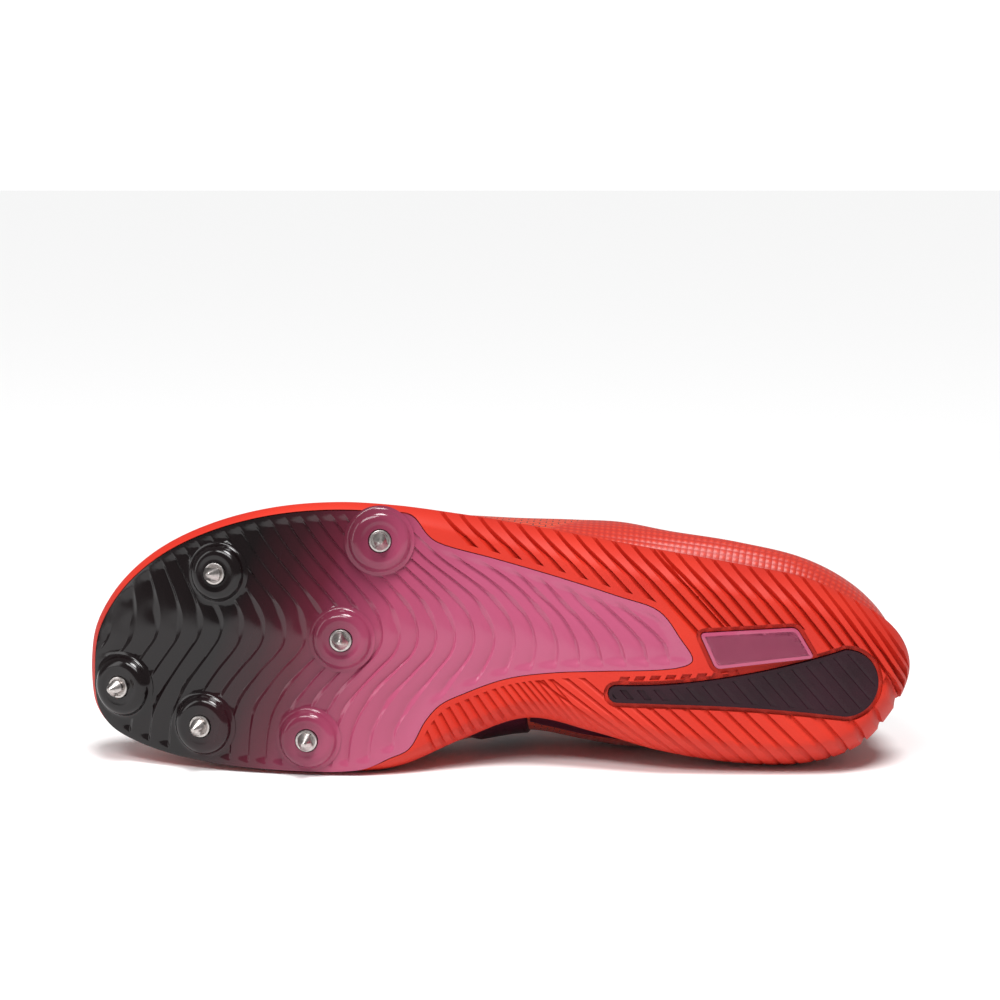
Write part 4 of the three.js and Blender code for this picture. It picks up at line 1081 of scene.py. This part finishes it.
# Upper: lines from the sole's rim to its top line. Rows of the top line: place in lengths, sides in ball
# widths, height in collar heights, and the place in lengths where the line that ends there starts
topline = [
    (0.026, -0.122, -0.122, 1, 0),
    (0.038, -0.034, -0.21, 0.985, 0.01),
    (0.08, 0.1, -0.35, 0.89, 0.06),
    (0.145, 0.178, -0.425, 0.775, 0.138),
    (0.214, 0.205, -0.446, 0.73, 0.214),
    (0.29, 0.208, -0.42, 0.79, 0.29),
    (0.352, 0.182, -0.325, 0.94, 0.352),
    (0.4, 0.136, -0.21, 1.08, 0.41),
    (0.455, 0.136, -0.196, 1.03, 0.49),
    (0.534, 0.132, -0.176, 0.9, 0.59),
    (0.612, 0.12, -0.15, 0.765, 0.7),
    (0.669, 0.098, -0.118, 0.675, 0.82),
    (0.701, 0.05, -0.07, 0.63, 0.935),
    (0.711, -0.01, -0.01, 0.62, 1),
]
# Handles of those lines in collar heights: out and up at the sole, over and under at the top, medial extra
handles = [
    (0, 0.08, 0.16, 0.03, 0.26, 0),
    (1, 0.095, 0.16, 0.035, 0.25, -0.01),
    (2, 0.16, 0.15, 0.07, 0.22, -0.075),
    (3, 0.23, 0.15, 0.045, 0.2, -0.15),
    (4, 0.27, 0.15, 0.04, 0.19, -0.19),
    (5, 0.26, 0.18, 0.08, 0.18, -0.16),
    (6, 0.24, 0.25, 0.18, 0.17, -0.02),
    (7, 0.2, 0.32, 0.21, 0.15, 0.12),
    (8, 0.12, 0.34, 0.23, 0.13, 0.19),
    (9, 0.065, 0.32, 0.24, 0.1, 0.105),
    (10, 0.035, 0.28, 0.27, 0.075, 0.06),
    (11, 0.035, 0.21, 0.33, 0.05, 0.03),
    (12, 0.04, 0.15, 0.42, 0.04, 0),
    (13, 0.045, 0.13, 0.5, 0.04, 0),
]
lastRow = len(topline) - 1
topCurve = twoSided(topline, np.array(topline)[:, 3] * shoe["collarHeight"])
footArcs = {s: [(i, abs(rimArc(s, row[4] * length))) for i, row in enumerate(topline)] for s in (1, -1)}
seamInset = shoe["lip"] + shoe["cupClear"]


def handle(column, r):
    return shoe["collarHeight"] * along(handles, column, r)


def topPoint(side, r):
    r = np.atleast_1d(np.asarray(r, float))
    return closedCurve(topCurve, np.mod((r if side > 0 else 2 * lastRow - r) / (2 * lastRow), 1))


def footPoint(side, r, inset):
    p, n = rimAt(side * along(footArcs[side], 1, np.atleast_1d(r)))
    return p - n * inset, n


def upperPoint(side, r, t):
    r, t = (v.ravel() for v in np.broadcast_arrays(np.asarray(r, float), np.asarray(t, float)))
    foot, n = footPoint(side, r, seamInset)
    start = np.column_stack([foot, wallTop(foot[:, 0]) + shoe["gap"]])
    top = topPoint(side, r)
    out = handle(1, r) + (handle(5, r) if side < 0 else 0)
    first = start + np.column_stack([n * out[:, None], handle(2, r)])
    away = start[:, :2] + n * 9 - top[:, :2]
    away /= np.linalg.norm(away, axis=1)[:, None]
    second = top + np.column_stack([away * handle(3, r)[:, None], -handle(4, r)])
    t = t[:, None]
    return (1 - t) ** 3 * start + 3 * (1 - t) ** 2 * t * first + 3 * (1 - t) * t * t * second + t**3 * top


# Knit lining, thread, lace, tongue cloth and insole share one woven look at their own pitch and colours
def wovenMaterial(name, dark, light, pitch, strength=0.5, **surface):
    material, shader = newMaterial(name, **surface)
    place = addNode(material, "TexCoord").outputs["Object"]
    cloud = addNode(material, "TexNoise", {"Vector": place, "Scale": 70.0, "Detail": 3.0})
    feed(material, shader.inputs["Base Color"], ramp(material, cloud.outputs["Fac"], [(0.3, dark), (0.72, light)]))
    knit = addNode(material, "TexVoronoi", {"Vector": place, "Scale": 1000.0 / pitch, "Randomness": 0.35})
    settings = {"Height": knit.outputs["Distance"], "Strength": strength, "Distance": 0.0002}
    bump = addNode(material, "Bump", settings, invert=True)
    feed(material, shader.inputs["Normal"], bump.outputs["Normal"])
    return material


# Engineered mesh: short raised dashes in staggered rows over holes, with painted shade making the holes darker; the
# heel's zone is coated and shows fine dots through a satin skin. The zone attribute is 0 on the mesh and 1 on the
# coating.
meshLook = {"dash": 4.2, "row": 1.9, "dots": 2.3, "zoneRow": (3.9, 6.2), "zoneShare": 0.46}


def meshMaterial():
    material, shader = newMaterial("engineered mesh and coating", Roughness=0.6, Sheen_Weight=0.15)
    unrolled = addNode(material, "UVMap", uv_map="millimetres").outputs["UV"]
    zone = addNode(material, "Attribute", attribute_name="zone").outputs["Fac"]
    inputs = {"Vector": unrolled, "Scale": 1000.0, "Mortar Size": 0.32, "Mortar Smooth": 0.7}
    inputs |= {"Brick Width": meshLook["dash"], "Row Height": meshLook["row"]}
    dashes = addNode(material, "TexBrick", inputs, offset=0.5)
    dots = addNode(material, "TexVoronoi", {"Vector": unrolled, "Scale": 1000 / meshLook["dots"], "Randomness": 0.0})
    # Painted shade: the holes between the dashes are painted dark, as shade in the recesses
    open_mesh_with_painted_hole_shade = ramp(material, dashes.outputs["Fac"], [(0.2, "#cc360e"), (0.9, "#741204")])
    coated = ramp(material, dots.outputs["Distance"], [(0.1, "#c42e14"), (0.45, "#ab1d0b")])
    mixed = material.node_tree.nodes.new("ShaderNodeMix")
    mixed.data_type = "RGBA"
    feed(material, mixed.inputs[0], zone)
    feed(material, mixed.inputs[6], open_mesh_with_painted_hole_shade)
    feed(material, mixed.inputs[7], coated)
    feed(material, shader.inputs["Base Color"], mixed.outputs[2])
    gloss = addNode(material, "MapRange", {"Value": zone, "To Min": 0.72, "To Max": 0.42})
    feed(material, shader.inputs["Roughness"], gloss.outputs[0])
    height = addNode(material, "Mix", {0: zone, 2: dashes.outputs["Fac"], 3: dots.outputs["Distance"]})
    bump = addNode(material, "Bump", {"Height": height.outputs[0], "Strength": 0.8, "Distance": 0.0004}, invert=True)
    feed(material, shader.inputs["Normal"], bump.outputs["Normal"])
    return material


upperCloth = {
    "columns": 230,
    "steps": 56,
    "collarEnd": (5.2, 6.7),
    "eyestayRow": 6.6,
    "eyestayShare": 0.86,
    "eyestayStep": 0.7,
    "throatTop": 7.25,
    "throatEnd": 12.4,
    "eyelets": 5,
    "eyeletInset": 6.5,
    "eyeletRadius": 1.7,
    "creases": [(8.6, 0.5, 0.35), (9.5, 0.5, 0.5), (10.3, 0.45, 0.4)],
}


def upperNormals(side, r, t):
    step = 0.004
    low, high = np.clip(t - step, 0, 1), np.clip(t + step, 0, 1)
    around = upperPoint(side, r + step, t) - upperPoint(side, r - step, t)
    line = upperPoint(side, r, high) - upperPoint(side, r, low)
    out = np.cross(line, around) * (1 if side > 0 else -1)
    return out / np.linalg.norm(out, axis=1)[:, None]


def upperThickness(r, t):
    collar = 1 - smoothstep(r, *upperCloth["collarEnd"])
    pad = collar * smoothstep(t, 0.45, 0.8) * (1 - 0.45 * smoothstep(t, 0.9, 1))
    return upperWall["plain"] + upperWall["pad"] * pad


def upperRelief(r, t):
    raised = smoothstep(r, upperCloth["eyestayRow"] - 0.12, upperCloth["eyestayRow"] + 0.02)
    edge = upperCloth["eyestayShare"]
    relief = upperCloth["eyestayStep"] * raised * smoothstep(t, edge - 0.02, edge + 0.02)
    for row, share, depth in upperCloth["creases"]:
        bend = np.exp(-(((r - row) / 0.14) ** 2)) * np.exp(-(((t - share) / 0.22) ** 2))
        relief = relief - depth * bend
    return relief


def upperSheet():
    columns, last = upperCloth["columns"], upperCloth["steps"]
    t = np.concatenate([np.linspace(0, 0.9, last - 12), np.linspace(0.9, 1, 14)[1:]])
    r = lastRow * np.arange(columns + 1) / columns
    outer, inner, zones, feet = [], [], [], []
    for side in (1, -1):
        rows = r if side > 0 else r[-2:0:-1]
        grid, shares = np.meshgrid(rows, t, indexing="ij")
        flatR, flatT = grid.ravel(), shares.ravel()
        inR = np.clip(flatR, 0.005, lastRow - 0.005)
        p = upperPoint(side, flatR, flatT)
        n = upperNormals(side, inR, flatT)
        n[:, 1] *= np.where((flatR < 0.01) | (flatR > lastRow - 0.01), 0, 1)
        n /= np.linalg.norm(n, axis=1)[:, None]
        shape = grid.shape + (3,)
        outer.append((p + n * upperRelief(flatR, flatT)[:, None]).reshape(shape))
        inner.append((p - n * upperThickness(flatR, flatT)[:, None]).reshape(shape))
        edge = meshLook["zoneShare"] + 0.35 * smoothstep(grid, 5.4, 3.2) - 0.5 * smoothstep(grid, 5.6, 8.2)
        zones.append(smoothstep(edge - shares, -0.012, 0.012))
        base = []
        for inset in (upperWall["plain"], upperWall["seamMargin"]):
            for lift in (0, upperWall["plain"]):
                foot = footPoint(side, rows, seamInset + inset)[0]
                base.append(np.column_stack([foot, bed(foot[:, 0]) + shoe["bedClear"] + lift]))
        corner = footPoint(side, rows, seamInset)[0]
        feet.append(base + [np.column_stack([corner, bed(corner[:, 0]) + shoe["bedClear"]])])
    outer, inner, zones = np.vstack(outer), np.vstack(inner), np.vstack(zones)
    feet = [np.vstack([part[k] for part in feet]) for k in range(5)]
    return t, outer, inner, zones, feet


def makeUpper():
    t, outer, inner, zones, feet = upperSheet()
    count = len(outer)
    layers = [feet[2], feet[4]] + [outer[:, j] for j in range(len(t))]
    layers += [inner[:, j] for j in range(len(t) - 1, -1, -1)] + [feet[1], feet[3]]
    points = np.vstack(layers)
    faces = []
    for ring in range(len(layers)):
        faces += bandFaces(ring * count, ((ring + 1) % len(layers)) * count, count)
    piece = tidyNormals(meshObject("mesh_upper", points, faces))
    mesh = piece.data
    around = np.linalg.norm(np.diff(np.vstack([outer[:, 20], outer[:1, 20]]), axis=0), axis=1)
    along_ = np.concatenate([[0], np.cumsum(around)])
    upward = np.concatenate([np.zeros((count, 1)), np.cumsum(np.linalg.norm(np.diff(outer, axis=1), axis=2), axis=1)], axis=1)
    place = np.zeros((len(points), 2))
    zone = np.zeros(len(points))
    for j in range(len(t)):
        for base in (2 + j, len(layers) - 3 - j):
            place[base * count:(base + 1) * count] = np.column_stack([along_[:-1], upward[:, j]]) / 1000
            zone[base * count:(base + 1) * count] = zones[:, j]
    corners = np.zeros(len(mesh.loops), int)
    mesh.loops.foreach_get("vertex_index", corners)
    unrolled = mesh.uv_layers.new(name="millimetres")
    unrolled.data.foreach_set("uv", place[corners].ravel())
    mesh.attributes.new("zone", "FLOAT", "POINT").data.foreach_set("value", zone)
    mesh.materials.clear()
    mesh.materials.append(meshMaterial())
    mesh.materials.append(wovenMaterial("knit lining", "#33242a", "#43323a", 0.9, Roughness=0.85))
    start = (2 + len(t)) * count
    for face in mesh.polygons:
        if min(face.vertices) >= start - count and max(face.vertices) >= start:
            face.material_index = 1
    for side in (1, -1):
        for k in range(upperCloth["eyelets"]):
            p, out, _ = eyelet(side, k)
            place = [(0, -6), (upperCloth["eyeletRadius"], -6), (upperCloth["eyeletRadius"], 6), (0, 6)]
            carve(piece, turned("punch", place, 24, standing(p, out)))
    smoothByAngle(piece, 50)
    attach(piece, "root")
    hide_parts("upper")
    print("upper", len(mesh.polygons), "faces")


def standing(p, out):
    turn = Vector((0, 0, 1)).rotation_difference(Vector(out)).to_matrix().to_4x4()
    return Matrix.Translation(Vector(p)) @ turn


def eyeletRow(k):
    top, end = upperCloth["throatTop"] + 0.2, upperCloth["throatEnd"] - 0.9
    return top + (end - top) * k / (upperCloth["eyelets"] - 1)


# Place, outward normal and way to the throat of an eyelet
def eyelet(side, k):
    r = np.array([eyeletRow(k)])
    share = 1 - upperCloth["eyeletInset"] / (3 * handle(3, r))
    p = upperPoint(side, r, share)[0]
    out = upperNormals(side, r, share)[0]
    return p, out, topPoint(side, r)[0] - p


# Smooth open curve through given points
def openCurve(points, count):
    points = np.array(points, float)
    ends = [2 * points[0] - points[1], *points, 2 * points[-1] - points[-2]]
    rows = []
    for i in range(len(points) - 1):
        a, b, c, d = ends[i:i + 4]
        for w in np.linspace(0, 1, count, endpoint=i == len(points) - 2):
            rows.append(0.5 * (2 * b + (c - a) * w + (2 * a - 5 * b + 4 * c - d) * w**2 + (3 * b - a - 3 * c + d) * w**3))
    return np.array(rows)


lacing = {"width": 5, "eyeWidth": 2.6, "thickness": 1.2, "lift": 0.7, "rise": 0.6, "steps": 8}


# Flat woven lace of a rounded section, narrower at both ends where it dips through an eyelet
def laceRun(points, ups):
    line = openCurve(points, lacing["steps"])
    faceUp = openCurve(ups, lacing["steps"])
    count = len(line)
    sections = []
    for i, p in enumerate(line):
        way = line[min(i + 1, count - 1)] - line[max(i - 1, 0)]
        way /= np.linalg.norm(way)
        up = faceUp[i] - way * (faceUp[i] @ way)
        up /= np.linalg.norm(up)
        side = np.cross(way, up)
        share = i / (count - 1)
        narrow = 1 - smoothstep(min(share, 1 - share), 0.1, 0.3)
        half = (lacing["width"] + (lacing["eyeWidth"] - lacing["width"]) * narrow) / 2
        thick = lacing["thickness"] / 2 * (1 + 0.5 * narrow)
        turn = np.arange(12) * pi / 6
        across = np.sign(np.cos(turn)) * np.abs(np.cos(turn)) ** 0.5 * half
        lift = np.sign(np.sin(turn)) * np.abs(np.sin(turn)) ** 0.8 * thick
        sections.append(p + across[:, None] * side + lift[:, None] * up)
    return sections


def makeLace():
    points, faces = [], []
    runs = [(1, 4, 4)] + [(side, k, k + 1) for k in range(4) for side in (1, -1)]
    for side, near, far in runs:
        a, outA, _ = eyelet(side, near)
        b, outB, _ = eyelet(-side, far)
        rise = lacing["lift"] + lacing["thickness"] / 2 + upperCloth["eyestayStep"]
        rows = [eyeletRow(near) + (eyeletRow(far) - eyeletRow(near)) * share for share in (0.16, 0.5, 0.84)]
        tops = [topPoint(side, rows[0])[0], topPoint(-side, rows[2])[0]]
        middle = (topPoint(1, rows[1])[0] + topPoint(-1, rows[1])[0]) / 2
        middle[2] += crown(rows[1], 0) + lacing["thickness"] * (2.2 if side > 0 else 1)
        for p in tops:
            p[2] += rise + lacing["rise"]
        hook = [a - outA * 2.6, a + outA * (rise - 0.6), tops[0], middle, tops[1], b + outB * (rise - 0.6), b - outB * 2.6]
        tilt = [outA - 0.8 * np.array([0, side, 0]), outA, outA + outB, outA + outB, outA + outB, outB, outB]
        sweepTool("lace", laceRun(hook, tilt), points, faces)
    piece = tidyNormals(meshObject("woven_lace", np.array(points), faces))
    smoothByAngle(piece, 60)
    cloth = wovenMaterial("woven polyester lace", "#e8452c", "#ff6a4e", 0.7, Roughness=0.7, Sheen_Weight=0.2)
    ready(piece, "lace", cloth)
    print("lace")


def topSlope(r):
    return handle(4, r) / handle(3, r)


def throatHalf(r):
    return 0.5 * np.linalg.norm(topPoint(1, r) - topPoint(-1, r), axis=1)


def crown(r, across):
    half = throatHalf(r)
    return (0.55 * half * topSlope(r) * (1 - (across / half) ** 2))[0]


tongue = {"rows": 56, "across": 28, "tab": 17, "overlap": 7.5, "thickness": 3.2, "clear": 0.5, "tabShare": 0.16}


def makeTongue():
    rows, across = tongue["rows"], tongue["across"]
    near, far = (np.zeros((rows + 1, across + 1, 3)) for _ in range(2))
    top, end = upperCloth["throatTop"], upperCloth["throatEnd"]
    for i in range(rows + 1):
        place = i / rows
        past = max(tongue["tabShare"] - place, 0) / tongue["tabShare"]
        r = top + (end - top) * max(place - tongue["tabShare"], 0) / (1 - tongue["tabShare"])
        middle = (topPoint(1, r)[0] + topPoint(-1, r)[0]) / 2
        tucked = 1.2 * smoothstep(r, top, top + 1) - 0.2 - 0.1 * smoothstep(past, 0, 0.2)
        half = float(throatHalf(r)[0] + tongue["overlap"] * tucked) * (1 - 0.22 * smoothstep(past, 0.55, 1) ** 2)
        for j in range(across + 1):
            side = 2 * j / across - 1
            p = middle.copy()
            p[1] += half * side
            slope = float(topSlope(r))
            p[2] += crown(r, half * side) - upperWall["plain"] * hypot(1, 1.5 * slope) - tongue["clear"]
            p[0] -= 0.8 * tongue["tab"] * past
            p[2] += 0.6 * tongue["tab"] * past
            full = tongue["thickness"] * (1 - 0.5 * abs(side) ** 6) * (1 - 0.35 * smoothstep(past, 0.8, 1))
            seam = 0.35 * np.exp(-(((abs(side) - 0.86) * half / 0.7) ** 2))
            near[i, j] = p - np.array([0, 0, seam])
            far[i, j] = p - np.array([0.3 * tongue["thickness"], 0, full])
    piece = tidyNormals(gridSolid("padded_tongue", near, far))
    applyModifier(piece, "BEVEL", width=0.0006, segments=3, limit_method="ANGLE", angle_limit=radians(50))
    smoothByAngle(piece, 50)
    cloth = wovenMaterial("spacer mesh tongue", "#d93a20", "#f4502e", 1.2, 0.7, Roughness=0.75, Sheen_Weight=0.2)
    ready(piece, "tongue", cloth)
    print("tongue")


def makeInsole():
    count = 2 * 110
    ring = insoleRing(count)
    rings = []
    for grow, lift in ((0.0, 0.0), (0.0, insole["thickness"] - 0.9), (-0.25, insole["thickness"] - 0.3), (-0.9, insole["thickness"])):
        edge = insoleRing(count, grow)
        rings.append(np.column_stack([edge, insoleRest(edge[:, 0]) + lift]))
    points = list(np.vstack(rings))
    faces = []
    for r in range(3):
        faces += bandFaces(r * count, (r + 1) * count, count)
    cup = lambda x, y: insoleRest(x) + insole["thickness"]
    faces += ringCap(points, 0, count, 14, lambda x, y: insoleRest(x))
    faces += ringCap(points, 3 * count, count, 14, cup)
    piece = tidyNormals(meshObject("sock_insole", np.array(points), faces))
    smoothByAngle(piece, 40)
    ready(piece, "insole", wovenMaterial("brushed sock insole", "#30232a", "#3d2e36", 0.6, Roughness=0.9))
    print("insole")


films = {
    "arch_band": {"sole": (7.75, 8.55), "top": (7.55, 8.3), "shares": (0.03, 0.74), "cells": (26, 60)},
    "arch_strip": {"sole": (5.1, 7.68), "top": (5.1, 7.68), "shares": (0.03, 0.13), "cells": (80, 12)},
    "clear": 0.6,
    "thickness": 0.7,
}


def makeFilms():
    material, shader = newMaterial("welded urethane film", Roughness=0.36, IOR=1.5)
    place = addNode(material, "TexCoord").outputs["Object"]
    cloud = addNode(material, "TexNoise", {"Vector": place, "Scale": 50.0})
    feed(material, shader.inputs["Base Color"], ramp(material, cloud.outputs["Fac"], [(0.3, "#2e0a18"), (0.7, "#3e1024")]))
    ripple = addNode(material, "TexNoise", {"Vector": place, "Scale": 420.0})
    bump = addNode(material, "Bump", {"Height": ripple.outputs["Fac"], "Strength": 0.25, "Distance": 0.0004})
    feed(material, shader.inputs["Normal"], bump.outputs["Normal"])
    for name in ("arch_band", "arch_strip"):
        film = films[name]
        low, high = film["shares"]
        around, upward = np.meshgrid(np.linspace(0, 1, film["cells"][0] + 1), np.linspace(0, 1, film["cells"][1] + 1), indexing="ij")
        t = low + (high - low) * upward
        ends = [film["sole"][k] + (film["top"][k] - film["sole"][k]) * t for k in (0, 1)]
        r = ends[0] + (ends[1] - ends[0]) * around
        here = upperPoint(-1, r, t)
        out = upperNormals(-1, r.ravel(), t.ravel())
        soft = smoothstep(np.minimum(np.minimum(around, 1 - around), np.minimum(upward, 1 - upward)), -0.02, 0.08).ravel()
        shape = r.shape + (3,)
        far = (here + out * 0.05).reshape(shape)
        near = (here + out * (0.2 + (films["clear"] + films["thickness"] - 0.3) * soft)[:, None]).reshape(shape)
        piece = tidyNormals(gridSolid(f"welded_{name}", near, far))
        smoothByAngle(piece, 50)
        ready(piece, name, material)
    print("films")


# Stitches as short threads along a line of the upper, from its function
stitches = {"pitch": 2.6, "length": 1.9, "radius": 0.28}


def stitchLine(side, fromRow, toRow, share, points, faces):
    r = np.linspace(fromRow, toRow, 900)
    line = upperPoint(side, r, share)
    out = upperNormals(side, r, np.full(len(r), float(share)))
    line = line + out * (upperRelief(r, np.full(len(r), float(share)))[:, None] + 0.1)
    arc = np.concatenate([[0], np.cumsum(np.linalg.norm(np.diff(line, axis=0), axis=1))])
    for start in np.arange(1.0, arc[-1] - 3, stitches["pitch"]):
        sections = []
        for q in (0, 0.2, 0.8, 1):
            at = start + q * stitches["length"]
            p = np.array([np.interp(at, arc, line[:, k]) for k in range(3)])
            n = np.array([np.interp(at, arc, out[:, k]) for k in range(3)])
            ahead = np.array([np.interp(at + 0.3, arc, line[:, k]) for k in range(3)]) - p
            side_ = np.cross(ahead / np.linalg.norm(ahead), n)
            radius = stitches["radius"] * (0.55 if q in (0, 1) else 1)
            sink = 0.22 if q in (0, 1) else 0
            ring = [p - n * sink + radius * (cos(a) * side_ + sin(a) * n) for a in np.arange(6) * pi / 3]
            sections.append(ring)
        sweepTool("stitch", sections, points, faces)


def makeStitches():
    points, faces = [], []
    for side in (1, -1):
        stitchLine(side, 6.75, 12.9, 0.885, points, faces)
        stitchLine(side, 6.75, 12.9, 0.985, points, faces)
        stitchLine(side, 0.15, 6.4, 0.955, points, faces)
    piece = tidyNormals(meshObject("stitches", np.array(points), faces))
    smoothByAngle(piece, 60)
    piece.data.materials.append(wovenMaterial("bonded thread", "#f7593c", "#ff7d5e", 0.3, Roughness=0.6))
    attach(piece, "root")
    piece.select_set(False)
    print("stitches", len(piece.data.polygons))


makeUpper()
makeTongue()
makeInsole()
makeLace()
makeFilms()
makeStitches()
makeMidsole()
makePlate()
makePins()
makePad()
makePlaque()

# Studio: a white floor under a white sky, soft light from overhead, a wide soft box above and a weaker one from the
# toe's side
studio = {
    "lens": 100,
    "sensor": 36,
    "distance": 0.972,
    "elevation": 8.0,
    "aim": (0.0006, -0.02, 0.0928),
    "floor": 14.0,
    "sky": 0.22,
    "sun": (3.1, 22, (0.12, -0.34, 1.0)),
    "boxes": [
        (7, 0.7, 0.25, (-0.3, -0.7, 0.85), "#ffffff"),
        (2.5, 0.3, 0.9, (-1.1, -0.5, 0.5), "#ffffff"),
    ],
}


def makeCamera():
    camera = bpy.data.objects.new("camera", bpy.data.cameras.new("camera"))
    bpy.context.scene.collection.objects.link(camera)
    camera.data.lens, camera.data.sensor_width = studio["lens"], studio["sensor"]
    tilt, aim = radians(studio["elevation"]), Vector(studio["aim"])
    back = Vector((0, -cos(tilt), sin(tilt)))
    camera.location = aim + back * studio["distance"]
    camera.rotation_euler = (-back).to_track_quat("-Z", "Y").to_euler()
    bpy.context.scene.camera = camera


def makeStudio():
    bpy.ops.mesh.primitive_plane_add(size=studio["floor"], location=(0, 0, 0))
    floor = bpy.context.object
    floor.name = "floor"
    floor.location.z = -0.0002
    material, shader = newMaterial("pale studio sweep", Roughness=0.6)
    shader.inputs["Base Color"].default_value = colour("#f4f4f4")
    floor.data.materials.append(material)
    world = bpy.data.worlds.new("studio")
    bpy.context.scene.world = world
    world.use_nodes = True
    tree = world.node_tree
    seen = tree.nodes.new("ShaderNodeLightPath")
    mix = tree.nodes.new("ShaderNodeMix")
    mix.data_type = "FLOAT"
    mix.inputs[2].default_value, mix.inputs[3].default_value = studio["sky"], 1.1
    tree.links.new(seen.outputs["Is Camera Ray"], mix.inputs[0])
    tree.links.new(mix.outputs[0], tree.nodes["Background"].inputs["Strength"])
    tree.nodes["Background"].inputs["Color"].default_value = (1, 1, 1, 1)
    for k, (power, wide, deep, place, tint) in enumerate(studio["boxes"]):
        light = bpy.data.lights.new(f"soft_box_{k + 1}", "AREA")
        light.shape, light.size, light.size_y = "RECTANGLE", wide, deep
        light.energy, light.color = power, colour(tint)[:3]
        lamp = bpy.data.objects.new(light.name, light)
        bpy.context.scene.collection.objects.link(lamp)
        lamp.location = place
        lamp.rotation_euler = (Vector((0, 0, 0.04)) - Vector(place)).to_track_quat("-Z", "Y").to_euler()
    strength, angle, way = studio["sun"]
    sun = bpy.data.lights.new("overhead_softness", "SUN")
    sun.energy, sun.angle = strength, radians(angle)
    lamp = bpy.data.objects.new(sun.name, sun)
    bpy.context.scene.collection.objects.link(lamp)
    lamp.rotation_euler = (-Vector(way)).to_track_quat("-Z", "Y").to_euler()
    bpy.context.scene.view_settings.view_transform = "Standard"


makeCamera()
makeStudio()
